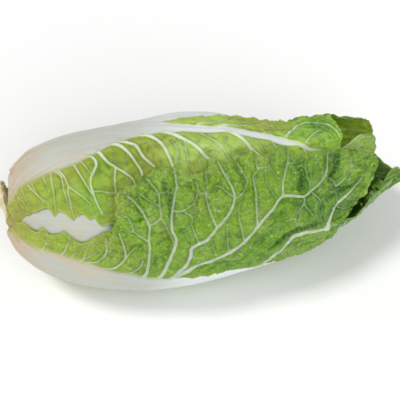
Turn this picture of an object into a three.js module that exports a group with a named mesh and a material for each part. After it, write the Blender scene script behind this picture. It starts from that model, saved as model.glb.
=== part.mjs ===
// Head of Chinese (napa) cabbage lying on its side, its leaves as separate solids.
// Millimetres, +Z up. The head's axis runs along X, the cut stem at -X and the leaf tips at +X.
// Every leaf is one closed solid that starts on the conical core and wraps round the leaves inside it.
//
// Leaves are laid out in "head coordinates":
//   s    how far along the head, 0 at the leaf's seat on the core and 1 at the top of the head
//   psi  the angle round the axis in degrees, 0 toward -Y, 90 straight up, 270 straight down
//   D    the depth below the outside of the head, in millimetres
// Leaves lie one inside another in D, so they never cross.
import * as THREE from "three";

// ---------------------------------------------------------------- driving dimensions
const HEAD_LENGTH = 300; // from the leaf seats to the top of the closed head
const DEPTH_TO_AXIS = 72; // depth at which the nested barrels vanish
const AXIS_HEIGHT = 62.5; // axis above the table; under the belly's radius, so the underside is pressed flat
const SEAT_STEP = 1.55; // how far up the core a leaf moves for each millimetre of depth
const TOP_STEP = 0.55; // how far the top of an inner leaf drops for each millimetre of depth
const PRESS = 0.72; // spacing of the layers where the weight presses them on the table
const STUB_LENGTH = 6; // cut stem beyond the leaf seats
const STUB_RADIUS = 13.5;
const SEAT_GAP = 0.6; // between the core and the leaf bases
const COLUMN_STEP = 15; // degrees between lattice columns
const FIRST_COLUMN = 7.5;
const ROWS = [0, 0.025, 0.07, 0.15, 0.26, 0.4, 0.55, 0.7, 0.8, 0.86, 0.9, 0.93, 0.97, 1.01, 1.055]; // lattice rows, in s

// Outside profile of the head: distance from the seats, radius where the leaf tips stand open,
// radius where they close over the top, and sideways bow of the axis.
const PROFILE = [
  [-6, 12, 12, 0],
  [0, 18, 18, 0],
  [3, 25, 25, 0],
  [6, 30.5, 30.5, 0],
  [10, 35.5, 35.5, 0],
  [15, 40.6, 40.6, 0],
  [22, 46.3, 46.3, 0.3],
  [32, 51.9, 51.9, 1.2],
  [44, 56.7, 56.7, 2.3],
  [60, 60.8, 60.8, 3.6],
  [80, 64.2, 64.2, 4.8],
  [104, 67.3, 67.3, 5.0],
  [130, 68.5, 68.5, 3.4],
  [160, 67.0, 67.0, 2.6],
  [192, 61.3, 61.0, 3.2],
  [224, 54.6, 53.0, 1.6],
  [240, 51.5, 47.5, -1.0],
  [250, 49.0, 42.0, -4.0],
  [258, 47.0, 35.5, -6.3],
  [266, 44.7, 26.0, -8.6],
  [272, 43.0, 16.5, -10.0],
  [278, 41.2, 8.0, -11.6],
  [284, 39.2, 4.0, -12.8],
  [292, 36.5, 2.5, -14.2],
  [300, 33.7, 2.0, -15],
  [310, 29.6, 2.0, -15],
  [326, 22.0, 2.0, -15],
];

// ---------------------------------------------------------------- interpolation
// Shape-preserving cubic through the points of a table.
function curve(table, column) {
  const x = table.map((r) => r[0]),
    y = table.map((r) => r[column]),
    n = x.length,
    h = [],
    d = [],
    m = new Array(n).fill(0);
  for (let i = 0; i < n - 1; i++) {
    h.push(x[i + 1] - x[i]);
    d.push((y[i + 1] - y[i]) / h[i]);
  }
  for (let i = 1; i < n - 1; i++)
    if (d[i - 1] * d[i] > 0) {
      const w1 = 2 * h[i] + h[i - 1],
        w2 = h[i] + 2 * h[i - 1];
      m[i] = (w1 + w2) / (w1 / d[i - 1] + w2 / d[i]);
    }
  m[0] = d[0];
  m[n - 1] = d[n - 2];
  return (v) => {
    let i = 0;
    while (i < n - 2 && v >= x[i + 1]) i++;
    const t = (v - x[i]) / h[i],
      t2 = t * t,
      t3 = t2 * t;
    return (
      (2 * t3 - 3 * t2 + 1) * y[i] +
      (t3 - 2 * t2 + t) * h[i] * m[i] +
      (-2 * t3 + 3 * t2) * y[i + 1] +
      (t3 - t2) * h[i] * m[i + 1]
    );
  };
}
// Straight-line interpolation, held constant past both ends.
const line = (table) => (v) => {
  if (v <= table[0][0]) return table[0][1];
  for (let i = 1; i < table.length; i++)
    if (v <= table[i][0]) {
      const [x0, y0] = table[i - 1],
        [x1, y1] = table[i];
      return y0 + ((y1 - y0) * (v - x0)) / (x1 - x0);
    }
  return table[table.length - 1][1];
};
const smooth = (t) => {
  const c = Math.min(1, Math.max(0, t));
  return c * c * (3 - 2 * c);
};
const rad = Math.PI / 180;
const openRadius = curve(PROFILE, 1),
  closedRadius = curve(PROFILE, 2),
  bow = curve(PROFILE, 3);

// Head coordinates to a point. "closing" is 0 for a leaf whose tip stands open and 1 for one that folds over the top.
function place(s, psi, D, closing) {
  const along = s * HEAD_LENGTH,
    k = 1 - D / DEPTH_TO_AXIS,
    seat = SEAT_STEP * D,
    top = HEAD_LENGTH - TOP_STEP * D,
    r = k * ((1 - closing) * openRadius(along) + closing * closedRadius(along));
  return new THREE.Vector3(
    seat + (top - seat) * s,
    -bow(along) * k - r * Math.cos(psi * rad),
    Math.max(AXIS_HEIGHT + r * Math.sin(psi * rad), PRESS * Math.max(D, 0)),
  );
}

// ---------------------------------------------------------------- the leaves, outermost first
// Edges are tables of [s, psi]. ribHalf is the half-width of the white midrib in degrees, ribThick its extra thickness.
const RIB_HALF = [[0, 25], [0.05, 32], [0.14, 33], [0.28, 26], [0.4, 18], [0.5, 12], [0.7, 9], [1.05, 7]];
const RIB_THICK = [[0, 3.6], [0.06, 5.6], [0.2, 5.8], [0.35, 4.6], [0.5, 3.0], [0.7, 1.8], [0.9, 0.9], [1.05, 0.5]];
const HALF_WIDTH = [[0, 26], [0.03, 38], [0.1, 44], [0.2, 50], [0.3, 62], [0.42, 76], [0.55, 86], [0.7, 93], [0.82, 93], [0.92, 78], [0.97, 56], [1.05, 34]];

// Where a leaf's edges have a point, as shares of its length.
const EDGE_ROWS = [0, 0.03, 0.1, 0.3, 0.5, 0.72, 0.84, 0.92, 0.97, 1];

const named = [
  {
    // the big leaf at the front: midrib low at the front, blade up over the front and down under the head
    name: "front_wrapper_leaf", rib: [[0, -20], [1, -22]], tip: 0.973, closing: 0, blade: 1.2, gap: 0.8,
    hi: [[0, 6], [0.02, 30], [0.05, 39], [0.13, 38], [0.2, 33], [0.25, 37], [0.28, 46], [0.31, 60], [0.36, 70], [0.42, 73], [0.5, 71], [0.6, 76], [0.7, 83], [0.75, 84], [0.8, 79], [0.87, 76], [0.92, 72], [0.95, 66], [0.973, 58]],
    lo: [[0, -46], [0.02, -64], [0.05, -74], [0.1, -79], [0.2, -84], [0.3, -100], [0.45, -122], [0.6, -128], [0.72, -124], [0.8, -108], [0.84, -70], [0.866, -6], [0.91, 14], [0.95, 30], [0.973, 44]],
  },
  {
    // the leaf over the top, its midrib showing along the upper side
    name: "top_wrapper_leaf", rib: [[0, 117], [0.3, 115], [0.4, 112], [0.5, 105], [0.66, 101], [0.72, 94], [0.8, 83], [0.9, 80]], tip: 0.895, closing: 0, blade: 1.2, gap: 0.8,
    hi: [[0, 142], [0.03, 155], [0.1, 160], [0.2, 165], [0.35, 180], [0.5, 190], [0.65, 190], [0.75, 180], [0.82, 162], [0.86, 145], [0.895, 118]],
    lo: [[0, 92], [0.02, 60], [0.04, 46], [0.1, 52], [0.16, 51], [0.24, 49], [0.28, 47], [0.36, 36], [0.5, 20], [0.65, 14], [0.75, 22], [0.82, 46], [0.87, 68], [0.895, 82]],
  },
  {
    name: "underside_wrapper_leaf", azimuth: 258, tip: 0.95, closing: 0.05, blade: 1.2, gap: 0.8,
    half: [[0, 25], [0.03, 38], [0.1, 43], [0.2, 50], [0.3, 62], [0.42, 76], [0.55, 86], [0.7, 90], [0.82, 84], [0.9, 60], [0.95, 30]],
  },
  {
    // its midrib shows in the gap between the two wrappers, and its tip beyond the end of the front one
    name: "front_second_leaf", rib: [[0, 43], [0.3, 42], [0.6, 36], [1, 36]], tip: 0.98, closing: 0.1, blade: 1.2, gap: 0.9,
    hi: [[0, 68], [0.03, 81], [0.1, 87], [0.2, 93], [0.3, 104], [0.42, 112], [0.6, 118], [0.72, 114], [0.8, 98], [0.86, 77], [0.92, 82], [0.955, 90], [0.98, 82]],
    lo: [[0, 18], [0.03, 5], [0.1, -1], [0.2, -7], [0.3, -20], [0.42, -36], [0.6, -50], [0.75, -50], [0.86, -34], [0.93, -4], [0.965, 26], [0.98, 50]],
  },
  {
    // the far wall of the open end
    name: "back_wrapper_leaf", rib: [[0, 176], [0.5, 186], [1, 192]], tip: 1.015, closing: 0.1, blade: 1.2, gap: 0.9,
    hi: [[0, 202], [0.03, 215], [0.1, 220], [0.2, 228], [0.3, 240], [0.42, 256], [0.6, 276], [0.8, 280], [0.9, 264], [0.96, 246], [1.0, 226], [1.015, 208]],
    lo: [[0, 150], [0.03, 138], [0.1, 132], [0.2, 126], [0.3, 116], [0.42, 106], [0.6, 100], [0.72, 102], [0.8, 116], [0.86, 140], [0.9, 148], [0.96, 150], [1.0, 158], [1.015, 172]],
  },
  {
    // its scoop-shaped tip is the far end of the head
    name: "underside_second_leaf", rib: [[0, 308], [0.5, 312], [1, 322]], tip: 1.055, closing: 0.2, blade: 1.2, gap: 0.9,
    hi: [[0, 334], [0.03, 346], [0.1, 352], [0.2, 358], [0.3, 370], [0.42, 384], [0.6, 396], [0.75, 392], [0.84, 374], [0.9, 360], [0.93, 358], [0.97, 366], [0.99, 382], [1.013, 404], [1.03, 398], [1.045, 381], [1.055, 355]],
    lo: [[0, 282], [0.03, 270], [0.1, 265], [0.2, 259], [0.3, 247], [0.42, 234], [0.6, 224], [0.8, 224], [0.95, 231], [1.0, 239], [1.03, 249], [1.045, 263], [1.055, 285]],
  },
  { name: "top_second_leaf", azimuth: 85, tip: 0.892, closing: 0.5, blade: 1.2, gap: 1.0 },
  { name: "back_second_leaf", azimuth: 222.5, tip: 0.91, closing: 0.6, blade: 1.2, gap: 1.0 },
];
const INNER = 16; // leaves inside the wrappers, crumpled, so they take up more room the further in they lie
const leaves = named.map((l) => ({ ...l, wide: 1, ribK: 1 }));
for (let i = 0; i < INNER; i++) {
  const t = i / (INNER - 1),
    order = named.length + i;
  leaves.push({
    name: (i < 8 ? "head_leaf_" : "heart_leaf_") + String((i % 8) + 1),
    azimuth: (-20 + 137.5 * order) % 360,
    tip: 0.9 + 0.025 * ((i * 0.618) % 1),
    closing: Math.min(1, 0.7 + 0.06 * i),
    blade: 1.4 + 2.0 * t,
    gap: 1.2 + 2.1 * t,
    wide: 1 + 0.18 * t,
    ribK: 0.85 - 0.5 * t,
  });
}
for (const l of leaves) {
  const half = line(l.half || HALF_WIDTH),
    widen = (s) => 1 + (l.wide - 1) * smooth((s - 0.1) / 0.3);
  l.mid = l.rib ? line(l.rib) : () => l.azimuth;
  l.high = l.hi ? line(l.hi) : (s) => l.azimuth + Math.min(150, half(s) * widen(s));
  l.low = l.lo ? line(l.lo) : (s) => l.azimuth - Math.min(150, half(s) * widen(s));
}
const ribHalf = line(RIB_HALF),
  ribThick = line(RIB_THICK);

// Angle from b to a, in -180..180.
const turn = (a, b) => ((((a - b + 180) % 360) + 360) % 360) - 180;
// Extra thickness of a leaf where its midrib runs.
function ribAt(l, s, psi) {
  const q = Math.abs(turn(psi, l.mid(s))) / ribHalf(s);
  return q >= 1 ? 0 : l.ribK * ribThick(s) * (1 - q * q) ** 2;
}

// A leaf's outline as a polygon in (s, psi): up one edge to the tip and back down the other.
function outline(l) {
  const rows = l.edges || EDGE_ROWS,
    up = [...(l.lo ? l.lo.map((p) => p[0]) : rows.map((s) => s * l.tip)), l.tip].filter((s, i, a) => s <= l.tip && a.indexOf(s) === i),
    down = [...(l.hi ? l.hi.map((p) => p[0]) : rows.map((s) => s * l.tip)), l.tip].filter((s, i, a) => s <= l.tip && a.indexOf(s) === i);
  return [...up.map((s) => [s, l.low(s)]), ...down.reverse().map((s) => [s, l.high(s)])];
}

// The part of a polygon where side(point) is positive. "side" is linear in s and psi.
function clip(polygon, side) {
  const kept = [];
  polygon.forEach((p, i) => {
    const q = polygon[(i + 1) % polygon.length],
      a = side(p),
      b = side(q);
    if (a >= 0) kept.push(p);
    if ((a > 0 && b < 0) || (a < 0 && b > 0)) {
      // measured from the same end whichever way the edge is walked
      const [u, w, x, y] = p[0] < q[0] || (p[0] === q[0] && p[1] < q[1]) ? [p, q, a, b] : [q, p, b, a],
        t = x / (x - y);
      kept.push([u[0] + (w[0] - u[0]) * t, u[1] + (w[1] - u[1]) * t]);
    }
  });
  return kept;
}
const area = (polygon) =>
  polygon.reduce((sum, p, i) => {
    const q = polygon[(i + 1) % polygon.length];
    return sum + (p[0] * q[1] - q[0] * p[1]) / 2;
  }, 0);
const column = (j) => FIRST_COLUMN + j * COLUMN_STEP;
const TURN = Math.round(360 / COLUMN_STEP);

// The outline cut up by the lattice: a polygon for each lattice triangle that the leaf reaches.
// Every lattice cell is two triangles, split along the diagonal that rises with psi.
function cells(l) {
  const shape = outline(l),
    low = Math.min(...shape.map((p) => p[1])),
    high = Math.max(...shape.map((p) => p[1])),
    made = [];
  for (let i = 0; i < ROWS.length - 1; i++) {
    const height = ROWS[i + 1] - ROWS[i],
      row = clip(
        clip(shape, (p) => p[0] - ROWS[i]),
        (p) => ROWS[i + 1] - p[0],
      );
    if (row.length < 3) continue;
    for (let j = Math.floor((low - FIRST_COLUMN) / COLUMN_STEP); column(j) < high; j++) {
      const cell = clip(
        clip(row, (p) => p[1] - column(j)),
        (p) => column(j + 1) - p[1],
      );
      if (cell.length < 3) continue;
      const slope = (p) => (p[0] - ROWS[i]) / height - (p[1] - column(j)) / COLUMN_STEP;
      for (const sign of [1, -1]) {
        const piece = clip(cell, (p) => sign * slope(p));
        if (piece.length >= 3 && Math.abs(area(piece)) > 2e-4) made.push({ i, j, sign, piece });
      }
    }
  }
  return made;
}
leaves.forEach((l) => {
  l.cells = cells(l);
  // 1 at every corner of every cell the leaf reaches, fading over the next corners.
  l.cover = ROWS.map(() => new Array(TURN).fill(0));
  const at = (j) => ((j % TURN) + TURN) % TURN;
  for (const c of l.cells) for (const i of [c.i, c.i + 1]) for (const j of [c.j, c.j + 1]) l.cover[i][at(j)] = 1;
  const full = l.cover.map((r) => [...r]);
  full.forEach((r, i) =>
    r.forEach((v, j) => {
      if (v) return;
      const near = [full[i][at(j - 1)], full[i][at(j + 1)], (full[i - 1] || [])[j], (full[i + 1] || [])[j]].some((x) => x);
      if (near) l.cover[i][j] = 0.4;
    }),
  );
});

// Depth of each leaf's outer and inner face at every lattice corner: each lies under all the leaves before it.
const stack = ROWS.map(() => new Array(TURN).fill(0));
leaves.forEach((l) => {
  l.outer = stack.map((r) => [...r]);
  l.inner = l.outer.map((r, i) => r.map((D, j) => D + l.blade + ribAt(l, ROWS[i], column(j))));
  l.outer.forEach((r, i) =>
    r.forEach((D, j) => {
      const c = l.cover[i][j];
      stack[i][j] = D + c * (l.blade + l.gap) + (c > 0.5 ? ribAt(l, ROWS[i], column(j)) : 0.6 * ribAt(l, ROWS[i], column(j)));
    }),
  );
});

// ---------------------------------------------------------------- a leaf as a closed solid
function leafGeometry(l) {
  const key = (s, psi) => s.toFixed(5) + "_" + psi.toFixed(3),
    ids = new Map(),
    flat = [];
  const at = (j) => ((j % TURN) + TURN) % TURN;
  // A point on the flat lattice triangle that holds it.
  const onTriangle = ({ i, j, sign }, [s, psi], D) => {
    const u = (s - ROWS[i]) / (ROWS[i + 1] - ROWS[i]),
      v = (psi - column(j)) / COLUMN_STEP,
      corner = (a, b) => place(ROWS[i + a], column(j + b), D[i + a][at(j + b)], l.closing),
      start = corner(0, 0),
      p = start.clone();
    if (sign > 0) p.addScaledVector(corner(1, 1).sub(corner(1, 0)), v).addScaledVector(corner(1, 0).sub(start), u);
    else p.addScaledVector(corner(0, 1).sub(start), v).addScaledVector(corner(1, 1).sub(corner(0, 1)), u);
    return p;
  };
  const triangles = [];
  for (const c of l.cells) {
    const turned = area(c.piece) < 0 ? [...c.piece].reverse() : c.piece,
      ring = turned.filter((p, n) => key(...p) !== key(...turned[(n + 1) % turned.length]));
    if (ring.length < 3) continue;
    const number = ring.map((p) => {
      const k = key(...p);
      if (!ids.has(k)) {
        ids.set(k, flat.length);
        flat.push({ o: onTriangle(c, p, l.outer), n: onTriangle(c, p, l.inner) });
      }
      return ids.get(k);
    });
    const faces =
      ring.length === 3
        ? [[0, 1, 2]]
        : THREE.ShapeUtils.triangulateShape(
            ring.map((p) => new THREE.Vector2(p[0] * 300, p[1])),
            [],
          );
    for (const f of faces) triangles.push(f.map((n) => number[n]));
  }
  // An edge used once is on the leaf's margin.
  const used = new Map();
  for (const t of triangles)
    for (let n = 0; n < 3; n++) {
      const a = t[n],
        b = t[(n + 1) % 3];
      used.set(a + "_" + b, [a, b]);
    }
  const points = flat.flatMap((p) => [p.o, p.n]),
    index = [];
  for (const [a, b, c] of triangles) {
    index.push(2 * a, 2 * b, 2 * c);
    index.push(2 * a + 1, 2 * c + 1, 2 * b + 1);
  }
  for (const [a, b] of used.values())
    if (!used.has(b + "_" + a)) index.push(2 * b, 2 * a, 2 * a + 1, 2 * b, 2 * a + 1, 2 * b + 1);
  return solidGeometry(points, index);
}
// A geometry from points and triangles, turned to face outwards.
function solidGeometry(points, index) {
  let volume = 0;
  for (let i = 0; i < index.length; i += 3)
    volume += points[index[i]].dot(new THREE.Vector3().crossVectors(points[index[i + 1]], points[index[i + 2]]));
  if (volume < 0) for (let i = 0; i < index.length; i += 3) [index[i + 1], index[i + 2]] = [index[i + 2], index[i + 1]];
  const g = new THREE.BufferGeometry();
  g.setAttribute("position", new THREE.Float32BufferAttribute(points.flatMap((p) => [p.x, p.y, p.z]), 3));
  g.setIndex(index);
  g.computeVertexNormals();
  return g;
}

// ---------------------------------------------------------------- assembly
const head = new THREE.Group();
head.name = "napa_cabbage";

// The core: a cut stub, then the cone that all the leaves sit on.
const coreTop = SEAT_STEP * DEPTH_TO_AXIS - 6,
  seatRadius = openRadius(0) - SEAT_GAP,
  coreProfile = [
    [0, -STUB_LENGTH],
    [STUB_RADIUS - 1, -STUB_LENGTH],
    [STUB_RADIUS, -STUB_LENGTH + 1.2],
    [STUB_RADIUS + 1.4, -2.4],
    [seatRadius, -0.6],
    [seatRadius * 0.75, (coreTop + 6) * 0.25 - 0.6],
    [seatRadius * 0.5, (coreTop + 6) * 0.5 - 0.6],
    [seatRadius * 0.25, (coreTop + 6) * 0.75 - 0.6],
    [0, coreTop],
  ].map(([r, x]) => new THREE.Vector2(r, x));
const core = new THREE.Mesh(
  new THREE.LatheGeometry(coreProfile, 24),
  new THREE.MeshStandardMaterial({ color: 0xd9d2ae, roughness: 0.6, metalness: 0 }),
);
core.name = "core_stem";
core.rotation.z = -Math.PI / 2; // the lathe's axis, Y, turned along X
core.position.set(0, 0, AXIS_HEIGHT);
head.add(core);

const tints = [0x7cab3c, 0x93b551, 0x3f6b2e, 0xa9bf62, 0x7f9c36, 0x6f9a3a, 0x88ae4c, 0x9ab85a];
leaves.forEach((l, k) => {
  const mesh = new THREE.Mesh(
    leafGeometry(l),
    new THREE.MeshStandardMaterial({ color: tints[k] || 0xdfe3a0, roughness: 0.5, metalness: 0 }),
  );
  mesh.name = l.name;
  head.add(mesh);
});

// The origin is under the middle of the head, on the table.
head.updateMatrixWorld(true);
const box = new THREE.Box3().setFromObject(head, true),
  middle = box.getCenter(new THREE.Vector3());
head.position.set(-middle.x, -middle.y, -box.min.z);
head.updateMatrixWorld(true);

export default head;
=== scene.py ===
"""A head of napa (Chinese) cabbage lying on its side: leaves built vertex by vertex in numpy, one object per leaf.

Head coordinates, as the CAD part uses them: x = mm along the head from the leaf seats, psi = degrees round the axis
(0 toward -Y, 90 up, 270 down), D = mm of depth below the outside of the head.
"""

import bpy
import math
import numpy as np
from mathutils import Matrix, Vector


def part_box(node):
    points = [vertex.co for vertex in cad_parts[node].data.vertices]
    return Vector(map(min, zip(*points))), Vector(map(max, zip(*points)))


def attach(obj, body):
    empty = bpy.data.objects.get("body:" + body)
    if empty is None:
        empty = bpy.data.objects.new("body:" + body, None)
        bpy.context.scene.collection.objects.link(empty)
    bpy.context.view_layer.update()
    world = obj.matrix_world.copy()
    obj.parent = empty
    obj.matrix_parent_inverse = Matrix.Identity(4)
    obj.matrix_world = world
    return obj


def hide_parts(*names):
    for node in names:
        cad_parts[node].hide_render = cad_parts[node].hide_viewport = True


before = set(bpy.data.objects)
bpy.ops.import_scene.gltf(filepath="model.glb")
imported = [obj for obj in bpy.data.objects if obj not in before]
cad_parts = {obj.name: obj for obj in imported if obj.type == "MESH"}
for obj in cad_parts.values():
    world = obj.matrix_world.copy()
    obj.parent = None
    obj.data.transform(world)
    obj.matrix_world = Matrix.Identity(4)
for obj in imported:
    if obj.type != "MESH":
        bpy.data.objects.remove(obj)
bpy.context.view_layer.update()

# ------------------------------------------------------------------ head coordinates
L0, DM, ZC, SEAT, TOP, PRESS = 300.0, 72.0, 62.5, 1.55, 0.55, 0.72
core_low, core_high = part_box("core_stem")
OX = core_low.x * 1000 + 6.0
OY = (core_low.y + core_high.y) * 500
OZ = (core_low.z + core_high.z) * 500 - ZC
PROFILE = [  # along, radius of a standing tip, radius of a closing leaf, sideways bow
    (-6, 12, 12, 0), (0, 18, 18, 0), (3, 25, 25, 0), (6, 30.5, 30.5, 0), (10, 35.5, 35.5, 0), (15, 40.6, 40.6, 0),
    (22, 46.3, 46.3, .3), (32, 51.9, 51.9, 1.2), (44, 56.7, 56.7, 2.3), (60, 60.8, 60.8, 3.6), (80, 64.2, 64.2, 4.8),
    (104, 67.3, 67.3, 5), (130, 68.5, 68.5, 3.4), (160, 67, 67, 2.6), (192, 61.3, 61, 3.2), (224, 54.6, 53, 1.6),
    (240, 51.5, 47.5, -1), (250, 49, 42, -4), (258, 47, 35.5, -6.3), (266, 44.7, 26, -8.6), (272, 43, 16.5, -10),
    (278, 41.2, 8, -11.6), (284, 39.2, 4, -12.8), (292, 36.5, 2.5, -14.2), (300, 33.7, 2, -15), (310, 29.6, 2, -15),
    (326, 22, 2, -15),
]


def shape_preserving(xs, ys, at):
    """Cubic through the points of a table, without overshoot."""
    xs, ys = np.asarray(xs, float), np.asarray(ys, float)
    h = np.diff(xs)
    d = np.diff(ys) / h
    m = np.zeros(len(xs))
    for i in range(1, len(xs) - 1):
        if d[i - 1] * d[i] > 0:
            w1, w2 = 2 * h[i] + h[i - 1], h[i] + 2 * h[i - 1]
            m[i] = (w1 + w2) / (w1 / d[i - 1] + w2 / d[i])
    m[0], m[-1] = d[0], d[-1]
    i = np.clip(np.searchsorted(xs, at, side="right") - 1, 0, len(xs) - 2)
    t = (at - xs[i]) / h[i]
    t2, t3 = t * t, t * t * t
    return (2 * t3 - 3 * t2 + 1) * ys[i] + (t3 - 2 * t2 + t) * h[i] * m[i] + (3 * t2 - 2 * t3) * ys[i + 1] + (t3 - t2) * h[i] * m[i + 1]


ALONG = np.arange(-8, 330.01, 0.25)
_cols = list(zip(*PROFILE))
OPEN, CLOSED, BOW = (shape_preserving(_cols[0], c, ALONG) for c in _cols[1:])


def radius(x):
    return np.interp(x, ALONG, OPEN)


def angle_from(a, b):
    return np.mod(a - b + 180, 360) - 180


HOLLOWS = [(17, 142, 9, 20, -1.8), (221, 136, 19, 26, 4.6), (116, 142, 34, 24, 1.3), (197, 134, 9, 22, 2.4), (222, 134, 14, 24, 2.4), (270, 142, 12, 24, 2.0), (250, 325, 34, 28, 1.9), (174, 325, 15, 28, 1.5)]


def hollow(x, psi):
    """Shallow hollows that every leaf follows: centre along and round, spread along and round, depth."""
    total = 0.0
    for cx, cp, sx, sp, depth in HOLLOWS:
        total = total + depth * np.exp(-0.5 * (((x - cx) / sx) ** 2 + (angle_from(psi, cp) / sp) ** 2))
    return total


def place(x, psi, D, closing=0.0, press=True):
    """Head coordinates to mm in the head's own frame."""
    k = 1 - D / DM
    r = k * ((1 - closing) * np.interp(x, ALONG, OPEN) + closing * np.interp(x, ALONG, CLOSED) - hollow(x, psi))
    a = np.radians(psi)
    X = SEAT * D + (L0 - TOP * D - SEAT * D) * (x / L0)
    Y = -np.interp(x, ALONG, BOW) * k - r * np.cos(a)
    Z = ZC + r * np.sin(a)
    if press:
        Z = np.maximum(Z, PRESS * np.maximum(D, 0))
    return np.stack([X, Y, Z], -1)


# ------------------------------------------------------------------ noise and small tools
RNG = np.random.RandomState(20260711)
_GRAD = RNG.rand(256, 256) * 2 - 1


def noise2(u, v, seed=0):
    """Smooth value noise in -1..1, one lattice step per unit."""
    u = u + seed * 37.17
    v = v + seed * 91.73
    iu, iv = np.floor(u).astype(int), np.floor(v).astype(int)
    fu, fv = u - iu, v - iv
    fu = fu * fu * fu * (fu * (fu * 6 - 15) + 10)
    fv = fv * fv * fv * (fv * (fv * 6 - 15) + 10)
    a, b = _GRAD[iu & 255, iv & 255], _GRAD[(iu + 1) & 255, iv & 255]
    c, d = _GRAD[iu & 255, (iv + 1) & 255], _GRAD[(iu + 1) & 255, (iv + 1) & 255]
    return (a + (b - a) * fu) * (1 - fv) + (c + (d - c) * fu) * fv


def fbm(u, v, seed=0, octaves=3, gain=0.5):
    total, amp, norm = 0.0, 1.0, 0.0
    for o in range(octaves):
        c, s = math.cos(0.7 * o + 0.3), math.sin(0.7 * o + 0.3)
        total = total + amp * noise2((c * u - s * v) * 2**o, (s * u + c * v) * 2**o, seed + 5 * o)
        norm += amp
        amp *= gain
    return total / norm


def smooth(t):
    t = np.clip(t, 0, 1)
    return t * t * (3 - 2 * t)


def cells(u, v, seed=0):
    """Distance to the nearest border of a jittered cell pattern, to the centre, and a number for the cell."""
    iu, iv = np.floor(u).astype(int), np.floor(v).astype(int)
    best = np.full(u.shape, 9.0)
    cu, cv = np.zeros(u.shape), np.zeros(u.shape)
    name = np.zeros(u.shape)
    pts = []
    for a in (-1, 0, 1):
        for b in (-1, 0, 1):
            gu, gv = iu + a, iv + b
            ju = gu + 0.5 + 0.42 * _GRAD[(gu + seed) & 255, (gv + 3 * seed) & 255]
            jv = gv + 0.5 + 0.42 * _GRAD[(gu + 77 + seed) & 255, (gv + 31 + 3 * seed) & 255]
            pts.append((ju, jv))
            d = np.hypot(ju - u, jv - v)
            near = d < best
            best = np.where(near, d, best)
            cu, cv = np.where(near, ju, cu), np.where(near, jv, cv)
            name = np.where(near, _GRAD[(gu + 11) & 255, (gv + 5) & 255], name)
    edge = np.full(u.shape, 9.0)
    for ju, jv in pts:
        w = np.hypot(ju - cu, jv - cv)
        e = ((ju + cu) / 2 - u) * (ju - cu) + ((jv + cv) / 2 - v) * (jv - cv)
        edge = np.where(w > 1e-6, np.minimum(edge, e / np.maximum(w, 1e-6)), edge)
    return edge, best, name


def blur_line(a, sigma):
    """Gaussian smoothing of a line of values that keeps both ends."""
    if sigma < 0.3:
        return a
    n = min(len(a) - 1, int(sigma * 3) + 1)
    k = np.exp(-0.5 * (np.arange(-n, n + 1) / sigma) ** 2)
    k /= k.sum()
    padded = np.concatenate([2 * a[0] - a[n:0:-1], a, 2 * a[-1] - a[-2 : -n - 2 : -1]])
    return np.convolve(padded, k, "valid")


def lengths(x, psi):
    step = np.hypot(np.diff(x), np.radians(np.diff(psi)) * radius((x[1:] + x[:-1]) / 2))
    return np.concatenate([[0], np.cumsum(step)])


def resample(points, n, sigma=0.0):
    """n points evenly along a polyline in (x, psi), smoothed over sigma mm."""
    p = np.asarray(points, float)
    s = lengths(p[:, 0], p[:, 1])
    dense = max(600, 4 * n)
    t = np.linspace(0, s[-1], dense)
    x, psi = np.interp(t, s, p[:, 0]), np.interp(t, s, p[:, 1])
    per = s[-1] / dense
    x, psi = blur_line(x, sigma / per), blur_line(psi, sigma / per)
    s = lengths(x, psi)
    t = np.linspace(0, s[-1], n)
    return np.interp(t, s, x), np.interp(t, s, psi), t


def table(rows):
    a = np.asarray(rows, float)
    return lambda x: np.interp(x, a[:, 0], a[:, 1])


# ------------------------------------------------------------------ the leaves, outermost first
def scaled(rows):
    return [(s * L0, psi) for s, psi in rows]


HALF_WIDTH = [(0, 26), (.03, 38), (.1, 44), (.2, 50), (.3, 62), (.42, 76), (.55, 86), (.7, 93), (.82, 93), (.92, 78), (.97, 56), (1.05, 34)]
RIB_HALF = table(scaled([(0, 25), (.05, 32), (.14, 33), (.28, 26), (.4, 18), (.5, 12), (.7, 8), (.9, 4), (1.05, 3)]))
RIB_THICK = table(scaled([(0, 3.6), (.06, 5.6), (.2, 5.8), (.35, 4.6), (.5, 3), (.7, 1.8), (.9, .9), (1.05, .5)]))

FRONT_HI = [(0, 6), (3.2, 28.6), (7.6, 38), (11.2, 44.5), (14, 44.5), (17.4, 42.9), (21.3, 40.9), (22.1, 37.6), (24.7, 37.6), (26.3, 36), (30.8, 41.7), (33, 40.3), (34.9, 37.2), (36.9, 35.7), (40.3, 37.3), (43.1, 37.1), (47.3, 40), (49.9, 37.6), (53.2, 34.7), (56.4, 31.8), (59.7, 31.2), (62.3, 32.2), (64.4, 33.3), (68.9, 35.8), (75.2, 39.4), (80, 39.6), (83.6, 43), (86, 47), (85.4, 51.8), (86.8, 55.4), (86, 60.4), (89.2, 62), (92.6, 65.4), (97.1, 67.6), (102.9, 66.4), (107.7, 72.8), (113.9, 71.8), (117.5, 76.4), (121.6, 73.8), (127.4, 74.2), (132.9, 74.2), (138.4, 71.6), (143.5, 67.4), (147.9, 70.8), (152.3, 71.6), (154.5, 75.4), (159.9, 77.2), (165.4, 76.2), (170.2, 72.6), (176.7, 76), (183.7, 77.6), (188.8, 79.8), (194.5, 75.4), (199, 77.4), (203.5, 80.6), (207.8, 83.2), (211.9, 84.6), (216.4, 84), (220.2, 81.4), (222.6, 77.9), (226.5, 76.6), (231, 76.6), (237.1, 78.2), (245.8, 77.8), (254.8, 76.1), (260.5, 76), (265.9, 75), (270.4, 72.4), (274.6, 66), (281.8, 63.2), (287, 58.8)]
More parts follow.
